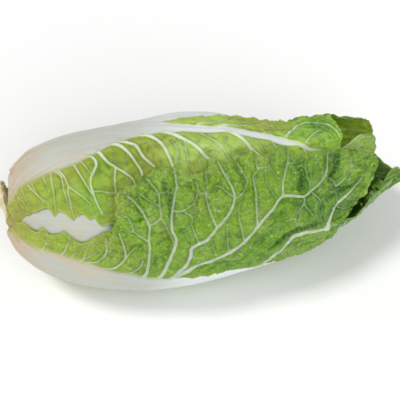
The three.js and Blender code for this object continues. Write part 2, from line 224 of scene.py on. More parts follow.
FRONT_LO = [(0, -46), (6, -64), (15, -74), (30, -79), (60, -84), (90, -100), (135, -122), (180, -128), (216, -124), (240, -108), (245, -70), (249.5, -35), (254, -12), (257.5, 0), (261.7, 12.6), (269, 19.6), (274.6, 26), (281, 35.6), (285.4, 45.6), (288.4, 52)]
TOP_HI = [(6.6, 142), (11, 155), (30, 160), (60, 165), (105, 180), (150, 190), (190, 188), (208, 172), (219, 152), (225, 135), (231, 125), (239, 126), (248, 129), (255.5, 125), (259.5, 114), (261.5, 107)]
TOP_LO = [(6.6, 96), (6.0, 74), (5.0, 56), (5.6, 41.5), (9.5, 41), (13, 43), (16.1, 47.2), (18.3, 51.9), (21.5, 49.9), (24.4, 54.3), (26.3, 53.2), (29.3, 54.3), (32.6, 56.8), (36.7, 57.1), (39.3, 54.1), (41.1, 50.1), (43.1, 53), (45.1, 54.4), (47.9, 53.4), (50.1, 51.9), (54.8, 47.2), (57.1, 50.9), (59.3, 50), (61, 52.6), (63.2, 51.2), (65.3, 48.9), (67.5, 47.3), (70, 49.9), (71.2, 47.9), (72.2, 45.2), (74.3, 43.2), (75.8, 43.4), (78.1, 43.5), (80.6, 44.5), (83.9, 42.5), (90, 38), (108, 36), (150, 20), (195, 14), (225, 22), (243, 46), (256, 66), (262, 76), (263.6, 88), (263.3, 97)]

# Veins given one by one: width at the start, width at the end (mm), points in (x, psi).
VEINS_FRONT = [
    (1.5, 0.7, [(26.6, 15.4), (32.4, 27.2), (33.5, 33.0)]),
    (0.8, 0.4, [(32.8, 28.6), (36.4, 24.2)]),
    (1.9, 0.9, [(41.2, 17.0), (47.0, 25.6), (50.7, 34.4), (50.3, 37.0)]),
    (1.2, 0.6, [(48.8, 16.8), (55.1, 25.0), (62.4, 29.6)]),
    (1.4, 0.8, [(56.2, 14.8), (60.9, 22.6), (63.1, 29.0)]),
    (1.5, 0.7, [(53.6, 14.4), (64.6, 21.4), (72.2, 27.4)]),
    (2.2, 1.1, [(56.9, 13.2), (68.6, 16.4), (74.8, 22.0), (76.6, 26.2), (77.0, 35.0)]),
    (0.9, 0.5, [(76.6, 26.2), (79.2, 21.6), (82.5, 25.6)]),
    (2.8, 1.3, [(68.2, 9.4), (74.8, 10.8), (81.4, 12.2), (87.9, 17.6), (90.1, 21.2), (89.4, 29.8), (87.2, 38.2)]),
    (1.2, 0.7, [(90.1, 21.2), (95.6, 26.6), (100.7, 30.0)]),
    (2.4, 1.4, [(78.1, 4.4), (83.9, 5.8), (92.3, 6.4), (98.9, 10.6), (102.2, 18.2)]),
    (3.2, 1.5, [(95.3, -2.0), (100.4, 0.4), (103.7, 5.2), (106.2, 16.4), (108.0, 28.2), (107.7, 33.0), (109.5, 40.8), (109.1, 42.4), (105.1, 51.0), (99.3, 58.4), (96.0, 60.8)]),
    (1.7, 0.9, [(109.5, 41.8), (118.3, 45.0), (117.9, 52.4), (118.6, 59.8), (111.7, 68.8), (109.5, 72.0)]),
    (0.7, 0.5, [(118.6, 59.8), (122.7, 60.2)]),
    (0.9, 0.5, [(117.9, 52.4), (110.2, 57.2), (104.0, 62.2), (102.9, 64.4)]),
    (1.1, 0.7, [(118.3, 45.0), (121.2, 39.2), (125.9, 27.6)]),
    (1.5, 0.8, [(107.3, 32.0), (97.4, 39.0), (96.7, 44.0), (94.9, 48.6), (89.0, 50.6)]),
    (1.0, 0.6, [(97.4, 39.0), (93.8, 39.2), (87.9, 41.2)]),
    (4.4, 1.4, [(103.7, -4.2), (109.1, -0.6), (116.1, 5.4), (122.7, 18.4), (127.0, 27.4), (128.1, 30.2), (124.9, 36.4), (125.6, 44.0), (127.8, 52.2), (130.0, 59.2), (131.8, 61.2), (131.4, 70.4), (131.4, 73.2)]),
    (0.8, 0.5, [(132.2, 61.4), (140.6, 62.6)]),
    (1.6, 0.9, [(128.5, 47.8), (134.7, 47.4), (142.4, 50.8), (147.1, 58.0), (146.4, 61.8), (145.3, 64.2)]),
    (0.9, 0.5, [(134.7, 47.4), (141.3, 42.8), (139.8, 39.0), (133.6, 35.2), (136.9, 27.8)]),
    (0.7, 0.5, [(142.8, 50.4), (144.6, 44.8), (141.3, 42.6)]),
    (0.8, 0.5, [(147.1, 58.0), (151.2, 54.8)]),
    (4.6, 1.6, [(120.8, -3.6), (129.2, 7.2), (135.1, 12.6), (137.6, 18.6), (137.6, 23.2), (149.7, 27.0), (157.7, 34.4), (165.4, 40.2), (170.5, 46.0), (173.1, 53.0), (170.9, 59.8), (166.1, 68.8), (163.6, 74.6)]),
    (1.6, 0.8, [(157.4, 35.0), (154.1, 43.8), (151.5, 53.6), (153.7, 61.0), (153.4, 71.0)]),
    (1.6, 0.8, [(173.1, 51.2), (179.3, 54.2), (184.0, 61.2), (179.3, 69.6), (177.1, 73.2)]),
    (0.9, 0.5, [(171.6, 52.4), (160.7, 61.0), (157.7, 58.0), (153.0, 55.2)]),
    (1.2, 0.7, [(143.9, 25.4), (139.5, 37.8)]),
    (5.2, 3.2, [(113.2, -8.4), (124.9, -1.4), (131.8, 4.8), (137.6, 8.0), (154.1, 11.6), (166.5, 14.4), (175.3, 19.2), (180.8, 23.0), (187.0, 30.4), (197.9, 38.4), (205.6, 46.6), (208.5, 49.2)]),
    (2.2, 1.1, [(208.5, 49.2), (209.6, 58.6), (216.2, 72.4), (218.0, 84.0)]),
    (3.0, 1.4, [(208.5, 48.6), (212.6, 48.8), (226.1, 44.8), (232.6, 48.8), (242.5, 54.0), (246.2, 61.0), (249.1, 75.2)]),
    (1.8, 1.2, [(187.7, 32.6), (188.8, 54.8), (187.3, 63.8), (192.1, 69.0), (195.7, 69.8)]),
    (1.2, 0.7, [(191.4, 68.4), (190.6, 76.6)]),
    (0.9, 0.6, [(195.7, 69.8), (200.9, 69.8), (203.8, 74.8)]),
    (0.9, 0.7, [(200.9, 69.4), (208.2, 59.4)]),
    (0.8, 0.6, [(197.2, 68.0), (196.8, 60.0), (203.4, 48.2)]),
    (0.8, 0.5, [(216.2, 72.4), (223.9, 71.4), (228.3, 74.2)]),
    (1.2, 0.8, [(177.5, 22.2), (174.2, 38.8), (174.9, 46.8), (178.6, 51.0)]),
    (1.2, 0.7, [(165.8, 16.4), (165.0, 37.8)]),
    (0.9, 0.6, [(156.3, 14.8), (153.0, 25.0), (154.5, 29.8)]),
    (1.1, 0.6, [(231.2, 50.0), (228.6, 69.6), (232.3, 75.6)]),
    (1.2, 0.8, [(226.1, 43.8), (225.7, 39.0), (216.9, 30.4), (219.1, 19.6)]),
    (0.8, 0.5, [(225.7, 39.0), (231.6, 28.6), (234.1, 15.0)]),
    (0.9, 0.6, [(231.9, 47.6), (238.5, 38.6), (235.9, 31.2), (241.1, 12.4)]),
    (1.0, 0.6, [(216.9, 30.4), (210.0, 30.2), (201.6, 24.6), (192.1, 22.8)]),
    (1.3, 0.8, [(245.4, 56.2), (249.5, 53.2), (253.1, 44.0), (251.3, 31.0)]),
    (1.2, 0.7, [(253.1, 44.0), (263.0, 50.2), (265.5, 55.8), (271.4, 57.8)]),
    (0.8, 0.5, [(265.5, 55.8), (267.0, 65.0), (266.3, 71.6)]),
    (5.4, 3.6, [(181.5, -13.2), (193.2, -9.8), (201.6, 0.2), (211.5, 10.6), (215.8, 15.2), (225.7, 15.0), (233.7, 12.4), (242.9, 10.0)]),
    (3.6, 1.8, [(242.9, 10.0), (245.4, 16.4), (247.6, 22.6), (252.0, 29.6), (262.2, 34.0), (271.4, 38.2), (274.7, 41.2)]),
    (1.5, 1.0, [(242.9, 10.0), (250.9, 3.8), (258.6, -1.2), (265.2, 5.6), (275.0, 13.6), (280.9, 24.8)]),
    (0.9, 0.5, [(256.8, 32.6), (264.1, 24.8), (271.4, 21.8)]),
    (0.8, 0.5, [(250.6, 27.0), (259.7, 18.6), (265.9, 18.6)]),
    (1.3, 0.7, [(163.2, 8.2), (174.9, 6.2), (183.3, 13.6), (192.1, 19.4)]),
    (0.9, 0.5, [(174.9, 6.2), (168.7, 13.6)]),
    (0.8, 0.5, [(183.3, 13.6), (179.7, 20.8)]),
    (1.0, 0.6, [(201.6, -0.6), (215.5, -0.6), (228.6, 0.6)]),
    (0.8, 0.5, [(215.5, -0.6), (220.6, 8.4)]),
]
VEINS_TOP = [
    (.9, .4, [(12.8, 80.6), (15.7, 69.1), (15.6, 60.7)]),
    (.9, .4, [(18.4, 78), (21.5, 67.2), (23.2, 56)]),
    (.8, .4, [(15.8, 70), (19.3, 63.4), (21.6, 53.5)]),
    (.9, .4, [(27, 79), (30.3, 69.5), (34.5, 60.6)]),
    (.8, .4, [(9.4, 84), (11.2, 70), (10.6, 58)]),
    (1.3, 0.5, [(24.0, 78.4), (29.5, 69.0), (35.0, 62.6), (39.7, 57.6)]),
    (1.2, 0.5, [(36.4, 81.8), (38.6, 73.2)]),
    (1.4, 0.5, [(41.9, 83.4), (42.6, 72.6), (42.6, 60.6), (42.3, 54.2)]),
    (1.6, 0.5, [(44.5, 85.8), (49.6, 79.6), (50.3, 68.4), (52.1, 58.8)]),
    (1.9, 0.6, [(47.0, 86.0), (51.8, 78.6), (54.0, 71.2), (62.7, 64.2), (68.9, 58.0)]),
    (1.1, 0.5, [(54.0, 71.2), (52.9, 68.0), (54.3, 55.8), (55.4, 49.6)]),
    (1.9, 0.9, [(59.1, 88.0), (62.4, 80.4), (66.8, 71.6), (70.8, 64.2)]),
    (1.4, 0.6, [(64.2, 90.0), (67.9, 84.4), (71.1, 78.6)]),
    (3.0, 1.2, [(66.8, 94.6), (71.9, 93.0), (75.2, 88.8), (75.9, 85.2), (70.8, 75.6), (70.0, 70.8), (71.5, 64.8), (73.0, 58.8), (76.3, 51.4)]),
    (1.0, 0.6, [(72.2, 66.6), (78.8, 66.0), (82.8, 63.0)]),
    (3.2, 1.5, [(73.0, 99.4), (77.0, 96.8), (80.3, 91.4), (83.9, 85.8), (89.4, 81.0), (96.0, 75.8), (100.0, 71.8), (100.4, 67.2)]),
    (1.5, 0.9, [(89.4, 80.4), (86.9, 70.0), (85.8, 64.0), (90.5, 59.0)]),
    (0.9, 0.5, [(85.8, 64.0), (79.2, 66.0)]),
    (3.2, 1.6, [(87.6, 100.6), (94.5, 96.4), (100.4, 89.4), (104.0, 83.0), (106.6, 76.6), (105.5, 68.8)]),
    (3.4, 2.2, [(91.2, 103.8), (96.7, 99.8), (105.9, 95.0), (109.9, 85.8), (115.4, 78.6), (121.2, 73.6)]),
    (4.6, 2.6, [(105.1, 106.6), (114.3, 101.6), (122.7, 95.6), (126.3, 88.6), (128.9, 80.0), (129.6, 75.2)]),
    (5.2, 3.4, [(121.9, 106.2), (131.1, 101.0), (139.5, 95.2), (147.5, 88.0), (156.3, 79.2), (158.1, 77.2)]),
    (0.9, 0.6, [(141.3, 91.2), (142.0, 81.0), (141.7, 74.0)]),
    (0.8, 0.4, [(132.5, 93.6), (136.5, 84.8), (134.7, 77.4)]),
    (1.6, 1.0, [(152.3, 100.4), (155.9, 96.0), (165.4, 88.2), (170.5, 81.0), (174.5, 76.0)]),
    (0.8, 0.5, [(165.4, 88.2), (163.2, 84.2), (154.8, 84.6), (152.3, 81.2)]),
    (0.8, 0.5, [(170.2, 95.8), (172.4, 90.6), (168.7, 86.4)]),
    (4.8, 3.0, [(169.4, 101.0), (176.4, 97.0), (184.0, 92.0), (190.6, 84.8), (198.3, 79.2)]),
    (1.3, 0.8, [(186.6, 99.2), (190.3, 97.4), (195.7, 91.8), (200.5, 84.0)]),
    (2.2, 1.4, [(199.0, 99.4), (204.9, 96.2), (208.5, 91.8), (210.7, 87.8)]),
    (1.8, 1.2, [(228.6, 89.6), (231.6, 86.2), (233.7, 79.2)]),
    (1.6, 1.0, [(152.3, 105.8), (165.0, 107.6), (175.6, 111.6), (190.3, 121.0)]),
    (1.8, 0.9, [(171.6, 104.4), (183.3, 107.2), (194.3, 112.4), (203.4, 119.4), (212.2, 122.2), (215.5, 118.4)]),
    (1.0, 0.5, [(202.0, 103.0), (210.7, 108.8), (219.5, 109.4)]),
    (1.6, 0.8, [(233.4, 88.6), (240.3, 96.8), (248.4, 101.2), (252.7, 97.2), (256.8, 88.4)]),
    (1.0, 0.5, [(230.5, 108.0), (238.5, 107.0), (247.6, 104.4)]),
    (0.8, 0.4, [(240.3, 96.8), (245.1, 92.8), (248.7, 85.8)]),
    (2.8, 1.6, [(219.6, 98), (223.8, 104.5), (230.4, 112.2), (238.5, 119.5), (244.8, 120.2), (249.7, 116.7), (253.2, 110.6), (257.6, 104.3), (260.6, 96), (261.6, 88)]),
    (1.8, 1.2, [(196, 132), (206, 122), (214.0, 113)]),
]


# ------------------------------------------------------------------ depth of each leaf on a grid over the head
GX = np.arange(-4, 324.1, 2.0)
GP = np.arange(0, 360, 2.0)


def outline(leaf, n=110):
    hx, hp, _ = resample(leaf["hi"], n, 2.0)
    lx, lp, _ = resample(leaf["lo"], n, 2.0)
    return np.concatenate([hx, lx[::-1]]), np.concatenate([hp, lp[::-1]])


def cover_of(leaf):
    """1 under the leaf and just outside it, fading to 0 a little way off."""
    px, pp = outline(leaf)
    best = np.full((len(GX), len(GP)), 99.0)
    rows = (GX > px.min() - 16) & (GX < px.max() + 16)
    X = GX[rows][:, None]
    R = np.radians(1) * np.maximum(radius(X), 12)
    ax, ap = px, pp
    bx, bp = np.roll(px, -1), np.roll(pp, -1)
    for turn in (-360, 0, 360):
        cols = (GP + turn > pp.min() - 40) & (GP + turn < pp.max() + 40)
        if not cols.any():
            continue
        P = (GP[cols] + turn)[None]
        dist = np.full((X.shape[0], P.shape[1]), 99.0)
        inside = np.zeros(dist.shape, bool)
        for i in range(len(ax)):
            ux, up = bx[i] - ax[i], (bp[i] - ap[i]) * R
            vx, vp = X - ax[i], (P - ap[i]) * R
            t = np.clip((vx * ux + vp * up) / np.maximum(ux * ux + up * up, 1e-9), 0, 1)
            dist = np.minimum(dist, np.hypot(vx - t * ux, vp - t * up))
            if ap[i] != bp[i]:
                hit = ((ap[i] > P) != (bp[i] > P)) & (X < (bx[i] - ax[i]) * (P - ap[i]) / (bp[i] - ap[i]) + ax[i])
                inside ^= hit
        dist = np.where(inside, 0, dist)
        block = best[np.ix_(rows, cols)]
        best[np.ix_(rows, cols)] = np.minimum(block, dist)
    return smooth((13.0 - best) / 11.0)


def on_grid(field, x, psi):
    """Bilinear look-up of a field over the head."""
    u = np.clip((x - GX[0]) / 2.0, 0, len(GX) - 1.001)
    v = np.mod(psi, 360) / 2.0
    i, j = np.floor(u).astype(int), np.floor(v).astype(int)
    fu, fv = u - i, v - j
    j, k = j % len(GP), (j + 1) % len(GP)
    return (field[i, j] * (1 - fv) + field[i, k] * fv) * (1 - fu) + (field[i + 1, j] * (1 - fv) + field[i + 1, k] * fv) * fu


def rib_depth(leaf, x, psi):
    q = np.abs(angle_from(psi, leaf["mid"](x))) / RIB_HALF(x)
    return np.where(q < 1, leaf["rib_k"] * RIB_THICK(x) * (1 - np.minimum(q, 1) ** 2) ** 2, 0)


def groove(points, width, depth, bank=0.0, reach=99.0):
    """A narrow valley along a line; bank lifts one side of it (the side of higher psi is positive)."""
    gx, gp, _ = resample(points, 40, 2.0)

    def height(x, psi):
        best = np.full(x.shape, 99.0)
        side = np.zeros(x.shape)
        taper = np.ones(x.shape)
        R = np.radians(1) * np.maximum(radius(x), 12)
        for i in range(len(gx) - 1):
            ux, up = gx[i + 1] - gx[i], (gp[i + 1] - gp[i]) * R
            vx, vp = x - gx[i], angle_from(psi, gp[i]) * R
            t = np.clip((vx * ux + vp * up) / (ux * ux + up * up), 0, 1)
            d = np.hypot(vx - t * ux, vp - t * up)
            near = d < best
            best = np.where(near, d, best)
            side = np.where(near, np.sign(vp * ux - vx * up), side)
            end = (i + t) / (len(gx) - 1)
            taper = np.where(near, smooth(end / .22) * smooth((1 - end) / .22), taper)
        out = -depth * taper * np.exp(-((best / width) ** 2))
        if bank:
            out = out + bank * taper * np.where(side > 0, smooth(best / width) * np.exp(-((best / (3.5 * width)) ** 2)), 0)
        return out
    return height


def mound(cx, cp, sx, sp, size):
    def height(x, psi):
        return size * np.exp(-0.5 * (((x - cx) / sx) ** 2 + (angle_from(psi, cp) / sp) ** 2))
    return height


FRONT_FOLDS = [
    groove([(122, 69), (123.8, 63.2), (125.2, 58.2), (125.9, 54), (126.3, 47), (125.6, 40)], 1.9, 3.2),
    groove([(193, 7.5), (200.9, 13.2), (206.3, 17), (212.9, 19.8), (220.2, 20), (229, 20), (240, 19)], 2.4, 2.4, 2.2),
    groove([(251, 43), (254, 40.8), (260.8, 39.6), (267.7, 40.8), (273.5, 43.5)], 1.9, 2.8, 2.8),
    groove([(257, 77), (255.8, 69.9), (254.7, 63.6), (251.3, 58.8), (248.8, 53.8), (247, 46)], 2.4, 3.2),
    groove([(226, 70), (225.8, 64.7), (225.7, 59.4), (223.5, 53.7), (221, 47)], 2.2, 2.6),
    groove([(171, 74), (178, 66), (182.5, 58), (185.5, 50)], 2.6, 1.6),
    groove([(143, 68), (146, 60), (145, 52), (141, 44)], 2.6, 1.3),
    groove([(100, 62), (104, 55), (104, 48), (101, 42)], 2.4, 1.2),
    mound(262, 63, 6, 8, 2.2), mound(270, 30, 11, 11, 1.6), mound(205, 62, 11, 9, 1.6), mound(92, 52, 8, 8, 1.5), mound(232, 36, 10, 7, 1.4),
]
BACK_FOLDS = [mound(276, 140, 13, 26, .8)]


def tint(cx, cp, sx, sp, amount):
    return lambda x, psi: amount * np.exp(-0.5 * (((x - cx) / sx) ** 2 + (angle_from(psi, cp) / sp) ** 2))


TOP_TINTS = [tint(71, 58, 7, 9, .22), tint(44, 67, 6, 7, .12), tint(80, 76, 9, 7, .16), tint(140, 84, 16, 7, -.26), tint(170, 122, 16, 9, -.3), tint(196, 112, 14, 8, -.16), tint(158, 76, 9, 6, -.15), tint(246, 108, 9, 12, .42), tint(60, 62, 20, 14, .10), tint(230, 100, 8, 8, .12)]
FRONT_PALE = [tint(222, 16, 12, 5, .35), tint(224, 0, 12, 5, .3), tint(84, 20, 16, 8, .3), tint(116, 73.6, 5, 4, .6), tint(139.5, 68.6, 4.6, 4, .7), tint(152, 71.4, 8, 4.6, .55), tint(95, 62, 6, 5, .35), tint(264, 60, 6, 8, .35), tint(278, 46, 7, 8, .3), tint(202, 68, 10, 7, .2), tint(230, 70, 6, 6, .12), tint(222, 1, 14, 5, .5), tint(238, -2, 10, 5, .35), tint(34, 37.5, 4, 3, .3), tint(66, 37.5, 6, 3, .35)]
# paler patches on the upper wrapper's blade: painted sheen, with some of the blade's own paler green
TOP_PALE_AND_SHEEN = [tint(172, 100, 38, 17, .34), tint(144, 84, 9, 6, .4), tint(176, 83, 12, 6, .95), tint(167, 112, 12, 5, .3), tint(202, 91, 8, 5, .3), tint(152, 86, 14, 8, .95), tint(131, 86, 9, 6, .5), tint(166, 113, 14, 5, .6), tint(190, 88, 14, 8, .3), tint(226, 96, 14, 7, .15), tint(240, 105, 12, 10, .1)]
# tone patches on the front wrapper: deeper and paler green of its own, and painted shade along its creases and folds
FRONT_TINTS_AND_CREASE_SHADE = [tint(258, 30, 6, 6, .3), tint(226, 60, 5, 9, .26), tint(250, 66, 5, 9, .3), tint(232, 38, 12, 9, .22), tint(262, 62, 6, 9, -.2), tint(275, 40, 9, 14, -.16), tint(268, 20, 8, 10, -.1),
               tint(116, 74, 4.5, 3.6, -.2), tint(140, 69, 4, 3.6, -.2), tint(152, 72, 7, 4.5, -.15), tint(88, 57, 7, 6, -.05), tint(182, 70, 10, 7, -.1), tint(205, 66, 10, 8, -.08),
               tint(127, 56, 2.6, 8, .5), tint(206, 16, 12, 3, .45), tint(222, 18.4, 9, 3, .5), tint(254, 40.4, 7, 2.4, .6), tint(259, 26, 7, 5, .5), tint(266, 43, 6, 2.4, .5), tint(225, 60, 3, 7, .45), tint(253.5, 63, 3, 7, .5), tint(250, 54, 3, 5, .24), tint(246, 28, 7, 5, .26), tint(236, 27, 8, 5, .18), tint(200, 80, 12, 8, -.1), tint(68, 37, 6, 3, -.3), tint(33, 38, 4, 3, -.2)]


def plain_leaf(name, azimuth, tip, closing, blade, gap, half=HALF_WIDTH, wide=1.0, rib_k=1.0, **more):
    """A leaf with the same outline on both sides of its midrib."""
    h = table(scaled(half))
    xs = np.array([0, .03, .1, .2, .3, .42, .55, .7, .8, .88, .94, .98, 1.0]) * tip * L0
    widen = 1 + (wide - 1) * smooth((xs / L0 - .1) / .3)
    w = np.minimum(150, h(xs) * widen)
    w[-1] = min(w[-1], 22)
    return dict(name=name, hi=list(zip(xs, azimuth + w)), lo=list(zip(xs, azimuth - w)), mid=lambda x, a=azimuth: a + 0 * x,
                spine=[(0, azimuth), (tip * L0, azimuth)], closing=closing, blade=blade, gap=gap, rib_k=rib_k, **more)


GAP_MID = table([(0, 34), (10, 42), (25, 46), (45, 46), (60, 43.6), (73, 41), (85, 44), (100, 50)])
GAP_HALF = table([(0, 5), (10, 2), (25, 5), (45, 8), (60, 10), (73, 9), (85, 5), (100, 3)])


def gap(x, psi, soft=6.0, end=84):
    """1 in the gap between the two wrappers, where the second leaf's midrib shows."""
    return (1 - smooth((np.abs(angle_from(psi, GAP_MID(x))) - GAP_HALF(x)) / soft)) * (1 - smooth((x - end) / 12))


def show_in_gap(x, psi, D):
    m = gap(x, psi, 12.0, 72)
    return D + np.minimum(0, .48 - D) * m


def flush_by_gap(x, psi, D):
    return D * (1 - .85 * gap(x, psi, 12.0, 78))


def rise_at_tip(x, psi, D):
    return D * (1 - smooth((x - 282) / 12))


